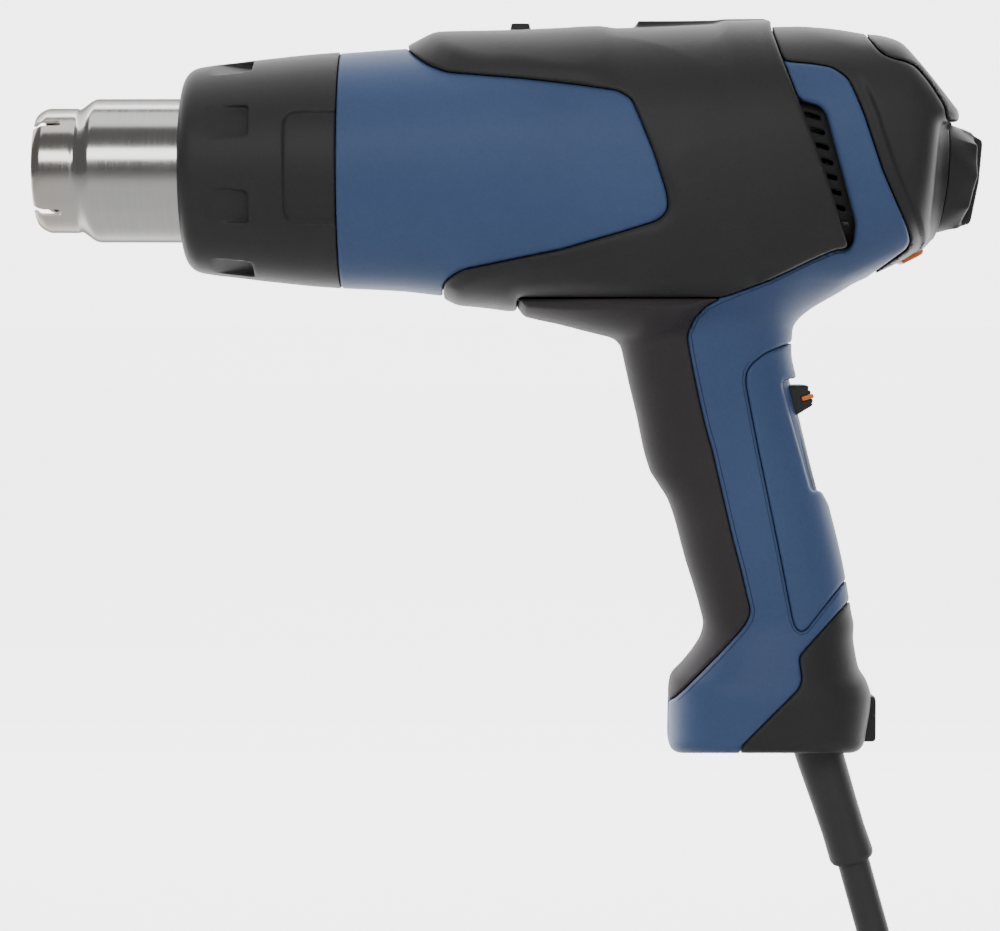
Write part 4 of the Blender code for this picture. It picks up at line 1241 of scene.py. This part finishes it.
slider = tidy(level_mesh("stage_switch_slider", slider_field, (8, -7.5, 18),
                         (28, 7.5, 34), 0.3))
finish(slider, BLACK, "switch", "switch_slider", slot="black_plastic")


def pointer_field(x, y, z):
    a, o = on_track(x, z)
    f = smax(np.abs(a + 3.6) - 0.6, np.abs(y) - 6.5, 0.3)
    return smax(smax(f, o - 6.5, 0.4), 3.1 - o, 0.2)


pointer = tidy(level_mesh("stage_switch_pointer", pointer_field,
                          (14, -7.2, 22), (26, 7.2, 32),
                          0.22), 20)
finish(pointer, ORANGE, "switch", "switch_pointer", slot="orange_plastic")


def track_field(x, y, z):
    a, o = on_track(x, z)
    dish = -0.12 + 0.45 * (np.abs(y) / 7.0) ** 2
    f = smax(np.abs(y) - 7.0, np.abs(a - 11.3) - 9.8, 0.4)
    f = smax(smax(f, o - dish, 0.2), -0.95 - o, 0.2)
    gap = np.maximum(np.abs(y) - 2.0, np.maximum(a - 16.9, 0.4 - a))
    return smax(f, -gap, 0.2)


track = tidy(level_mesh("stage_switch_track", track_field, (14, -7.5, 0),
                        (24, 7.5, 26), 0.26))
finish(track, GREY, "body", "switch_track", slot="grey_plastic")


# ------------------------------------------------------------ cable latch
def latch_field(x, y, z):
    f = smax(np.abs(y) - 6.2, np.abs(z + 60.1) - 6.3, 1.6)
    f = smax(smax(f, x - 38.2, 0.9), 34.6 - x, 0.2)
    r = np.sqrt(y * y + (z + 60.1) ** 2)
    boss = smax(r - 2.3, x - 38.9, 0.5)
    boss = np.maximum(boss, 37.0 - x)
    return smin(f, boss, 0.5)


latch = tidy(level_mesh("cable_release_latch", latch_field, (34.2, -6.6, -67),
                        (39.9, 6.6, -53.4), 0.28))
finish(latch, BLACK, "latch", "cable_latch", slot="black_plastic")

# ----------------------------------------------------- strain relief boot
boot = lathe("strain_relief_boot", fillet_profile([
    (4.75, -8.6), (7.4, -8.6), (7.4, -7.0), (6.55, -7.0), (6.5, 1.0),
    (6.45, 3.0), (6.1, 14.0), (5.95, 22.0), (6.1, 27.2), (6.15, 29.4),
    (5.6, 30.6), (4.75, 30.6)], 0.7, 4), tuple(BOOT_START),
    tuple(BOOT_AXIS), 72)
smooth(boot, 40)
finish(boot, CORD, "body", "strain_relief_sleeve", slot="cord_rubber")


# ------------------------------------------------------------ air inlets
def grille_field(x, y, z):
    c = core(x, y, z)
    f = np.maximum(np.abs(c + 5.0) - 0.8, in_inlet(x, y, z) - 1.5)
    wave = np.abs((z + 0.28 * x) % 3.6 - 1.8) - 0.55
    slot = np.maximum(wave, in_inlet(x, y, z) + 1.6)
    return np.maximum(smax(f, -slot, 0.4), 0.15 - y)


# The grilles take the near-black inner material, darker than the housing's black
# plastic, as painted shade for the inlet recess.
for side_name, flip in (("left", True), ("right", False)):
    g = tidy(level_mesh("inlet_grille_" + side_name, grille_field,
                        (8, 0, 60), (31, 41, 110),
                        0.5, flip))
    finish(g, INNER_AND_SHADE_BLACK, "body", "intake_grille_" + side_name,
           slot="black_plastic")

# ---------------------------------------------------------- case screws
for i, ((sx, sz), seat) in enumerate(zip(SCREWS, SCREW_SEATS), 1):
    def screw_field(x, y, z, sx=sx, sz=sz, seat=seat):
        dx, dz = x - sx, z - sz
        r = np.sqrt(dx * dx + dz * dz)
        dome = seat + 2.35 - 0.09 * r * r
        f = smax(smax(r - 2.95, y - dome, 0.5), seat - y, 0.2)
        wing = np.minimum(np.maximum(np.abs(dx) - 0.42, np.abs(dz) - 1.7),
                          np.maximum(np.abs(dz) - 0.42, np.abs(dx) - 1.7))
        return smax(f, -np.maximum(wing, seat + 1.0 - y), 0.25)
    obj = tidy(level_mesh(f"case_screw_{i}", screw_field,
                          (sx - 3.3, seat - 0.3, sz - 3.3),
                          (sx + 3.3, seat + 2.6, sz + 3.3),
                          0.22), 20)
    finish(obj, INNER_STEEL, "body", f"housing_screw_{i}", slot="steel")


# ------------------------------------------------- fine lines in the blue
def even(points, gap=1.2):
    out = [np.array(points[0], float)]
    for a, b in zip(points, points[1:]):
        a, b = np.array(a, float), np.array(b, float)
        n = max(1, int(np.linalg.norm(b - a) / gap))
        out += [a + (b - a) * k / n for k in range(1, n + 1)]
    return np.array(out)


def push(points, distance):
    """Move an open outline sideways, to the left of its direction."""
    pts = np.array(points, float)
    d = np.gradient(pts, axis=0)
    d /= np.maximum(np.linalg.norm(d, axis=1, keepdims=True), 1e-9)
    for _ in range(4):
        d[1:-1] = (d[:-2] + d[1:-1] * 2 + d[2:]) / 4
        d /= np.linalg.norm(d, axis=1, keepdims=True)
    return pts + np.stack([-d[:, 1], d[:, 0]], 1) * distance


def surface_line(name, points, radius, mat, sink=0.02):
    px, pz = np.array(points, float).T
    for sign, tag in ((-1, "left"), (1, "right")):
        lo, hi = np.full(px.shape, 4.0), np.full(px.shape, 46.0)
        for _ in range(40):
            y = (lo + hi) / 2
            k = 1 - y / LENS_D
            x = VIEW_X + (px - VIEW_X) * k
            z = VIEW_Z + (pz - VIEW_Z) * k
            out = core(x, y, z) + sink > 0
            hi = np.where(out, y, hi)
            lo = np.where(out, lo, y)
        obj = tube_curve(f"{name}_{tag}",
                         list(zip(x, sign * y, z)), radius, mat, 2)
        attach(obj, "body")


edge = even([(26.4, 65.4), (23.5, 65.2), (17.2, 62.5), (11.9, 59.9),
             (6.4, 57.3), (0.2, 54.9), (-6.0, 52.5), (-9.6, 50.8),
             (-12.3, 47.9), (-13.7, 44.3), (-12.8, 40.5),
             (-11.7, 35.2), (-10.0, 27.1), (-8.1, 19.1), (-6.5, 13.7),
             (-4.6, 5.6), (-2.7, -2.5), (-0.8, -10.6), (1.4, -18.7),
             (3.3, -26.8), (4.1, -30.2), (3.5, -33.0), (1.4, -36.1),
             (-3.8, -41.6), (-9.2, -47.0), (-14.9, -52.6), (-17.0, -54.3)])
surface_line("grip_lip_line", spread(edge), 0.13, SEAM)
inner_edge = push(even([(8.2, 39.9), (4.7, 37.0), (3.3, 34.9), (3.0, 31.9),
                        (4.7, 23.1), (6.9, 12.1), (10.2, -3.6),
                        (12.9, -16.5), (16.2, -33.3), (17.0, -35.6),
                        (18.3, -36.8), (19.8, -36.3), (30.2, -22.8)]), -1.0)
surface_line("panel_lip_line", inner_edge[3:-3], 0.1, SEAM)

# ---------------------------------------------- parts inside, as they are
INSIDE = {
    CERAMIC: ["heater_core"], MICA: ["mica_tube"],
    INNER_STEEL: ["motor_can", "motor_shaft", "heater_flange",
                  "temperature_sensor", "dial_spindle"],
    ALLOY: ["triac_heat_sink", "heating_coil"],
    GREEN: ["circuit_board"], BRASS: ["lead_wire_1", "lead_wire_2",
                                      "mains_wire_1", "mains_wire_2"],
}
given = {n: mat for mat, names in INSIDE.items() for n in names}
replaced = set()
for obj in bpy.data.objects:
    replaced |= set(obj.get("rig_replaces", []))
for name, node in frame["nodes"].items():
    if name in replaced:
        continue
    mat = given.get(name, INNER_AND_SHADE_BLACK)
    if not node.material_slots:
        node.data.materials.append(mat)
    for slot_ in node.material_slots:
        slot_.material = mat


# ------------------------------------------------------------------- stage
def stage():
    bm = bmesh.new()
    prof = [(-6.0, -0.32), (1.2, -0.32)]
    for i in range(1, 13):
        a = math.pi / 2 * i / 12
        prof.append((1.2 + 0.5 * math.sin(a), -0.32 + 0.5
                     - 0.5 * math.cos(a)))
    prof.append((1.7, 4.0))
    rows = []
    for y, z in prof:
        rows.append([bm.verts.new((-5.0, y, z)), bm.verts.new((5.0, y, z))])
    for a, b in zip(rows, rows[1:]):
        bm.faces.new((a[0], a[1], b[1], b[0]))
    mesh = bpy.data.meshes.new("backdrop")
    bm.to_mesh(mesh)
    bm.free()
    obj = bpy.data.objects.new("backdrop", mesh)
    bpy.context.scene.collection.objects.link(obj)
    mat, tree, shader = new_material("backdrop_pale")
    shader.inputs["Roughness"].default_value = 0.9
    shader.inputs["Specular IOR Level"].default_value = 0.1
    # The sweep glows softly well behind the tool, like a lit paper wall.
    coord = tree.nodes.new("ShaderNodeTexCoord")
    sep = tree.nodes.new("ShaderNodeSeparateXYZ")
    link(tree, coord.outputs["Object"], sep.inputs["Vector"])
    rise = tree.nodes.new("ShaderNodeMapRange")
    rise.interpolation_type = "SMOOTHSTEP"
    rise.inputs["From Min"].default_value = 0.2
    rise.inputs["From Max"].default_value = 0.7
    rise.inputs["To Min"].default_value = 0.05
    rise.inputs["To Max"].default_value = 2.6
    link(tree, sep.outputs["Y"], rise.inputs["Value"])
    shader.inputs["Emission Color"].default_value = (1, 1, 1, 1)
    link(tree, rise.outputs["Result"], shader.inputs["Emission Strength"])
    tone = tree.nodes.new("ShaderNodeMapRange")
    tone.inputs["From Min"].default_value = 0.1
    tone.inputs["From Max"].default_value = 0.7
    tone.inputs["To Min"].default_value = 0.42
    tone.inputs["To Max"].default_value = 0.9
    link(tree, sep.outputs["Y"], tone.inputs["Value"])
    link(tree, tone.outputs["Result"], shader.inputs["Base Color"])
    mesh.materials.append(mat)


stage()


def area(name, location, target, size, power, colour=(1, 1, 1)):
    data = bpy.data.lights.new(name, "AREA")
    data.shape = "RECTANGLE"
    data.size, data.size_y = size
    data.energy = power
    data.color = colour
    obj = bpy.data.objects.new(name, data)
    bpy.context.scene.collection.objects.link(obj)
    obj.location = location
    obj.rotation_euler = (Vector(target) - Vector(location)).to_track_quat(
        "-Z", "Y").to_euler()
    return obj


area("key", (-0.35, -1.25, 0.62), (-0.05, 0, 0.05), (1.8, 0.42), 11.5)
area("top", (0.0, -0.05, 1.35), (0, 0, 0), (2.0, 0.75), 6.5)
area("fill", (1.0, -1.5, 0.1), (0, 0, 0.02), (0.9, 1.2), 3)
area("wall", (0.0, 0.7, 1.2), (0.0, 1.7, 0.2), (2.4, 1.0), 24)
world = bpy.data.worlds.new("room")
bpy.context.scene.world = world
world.use_nodes = True
world.node_tree.nodes["Background"].inputs["Color"].default_value = (
    1, 1, 1, 1)
world.node_tree.nodes["Background"].inputs["Strength"].default_value = 0.14
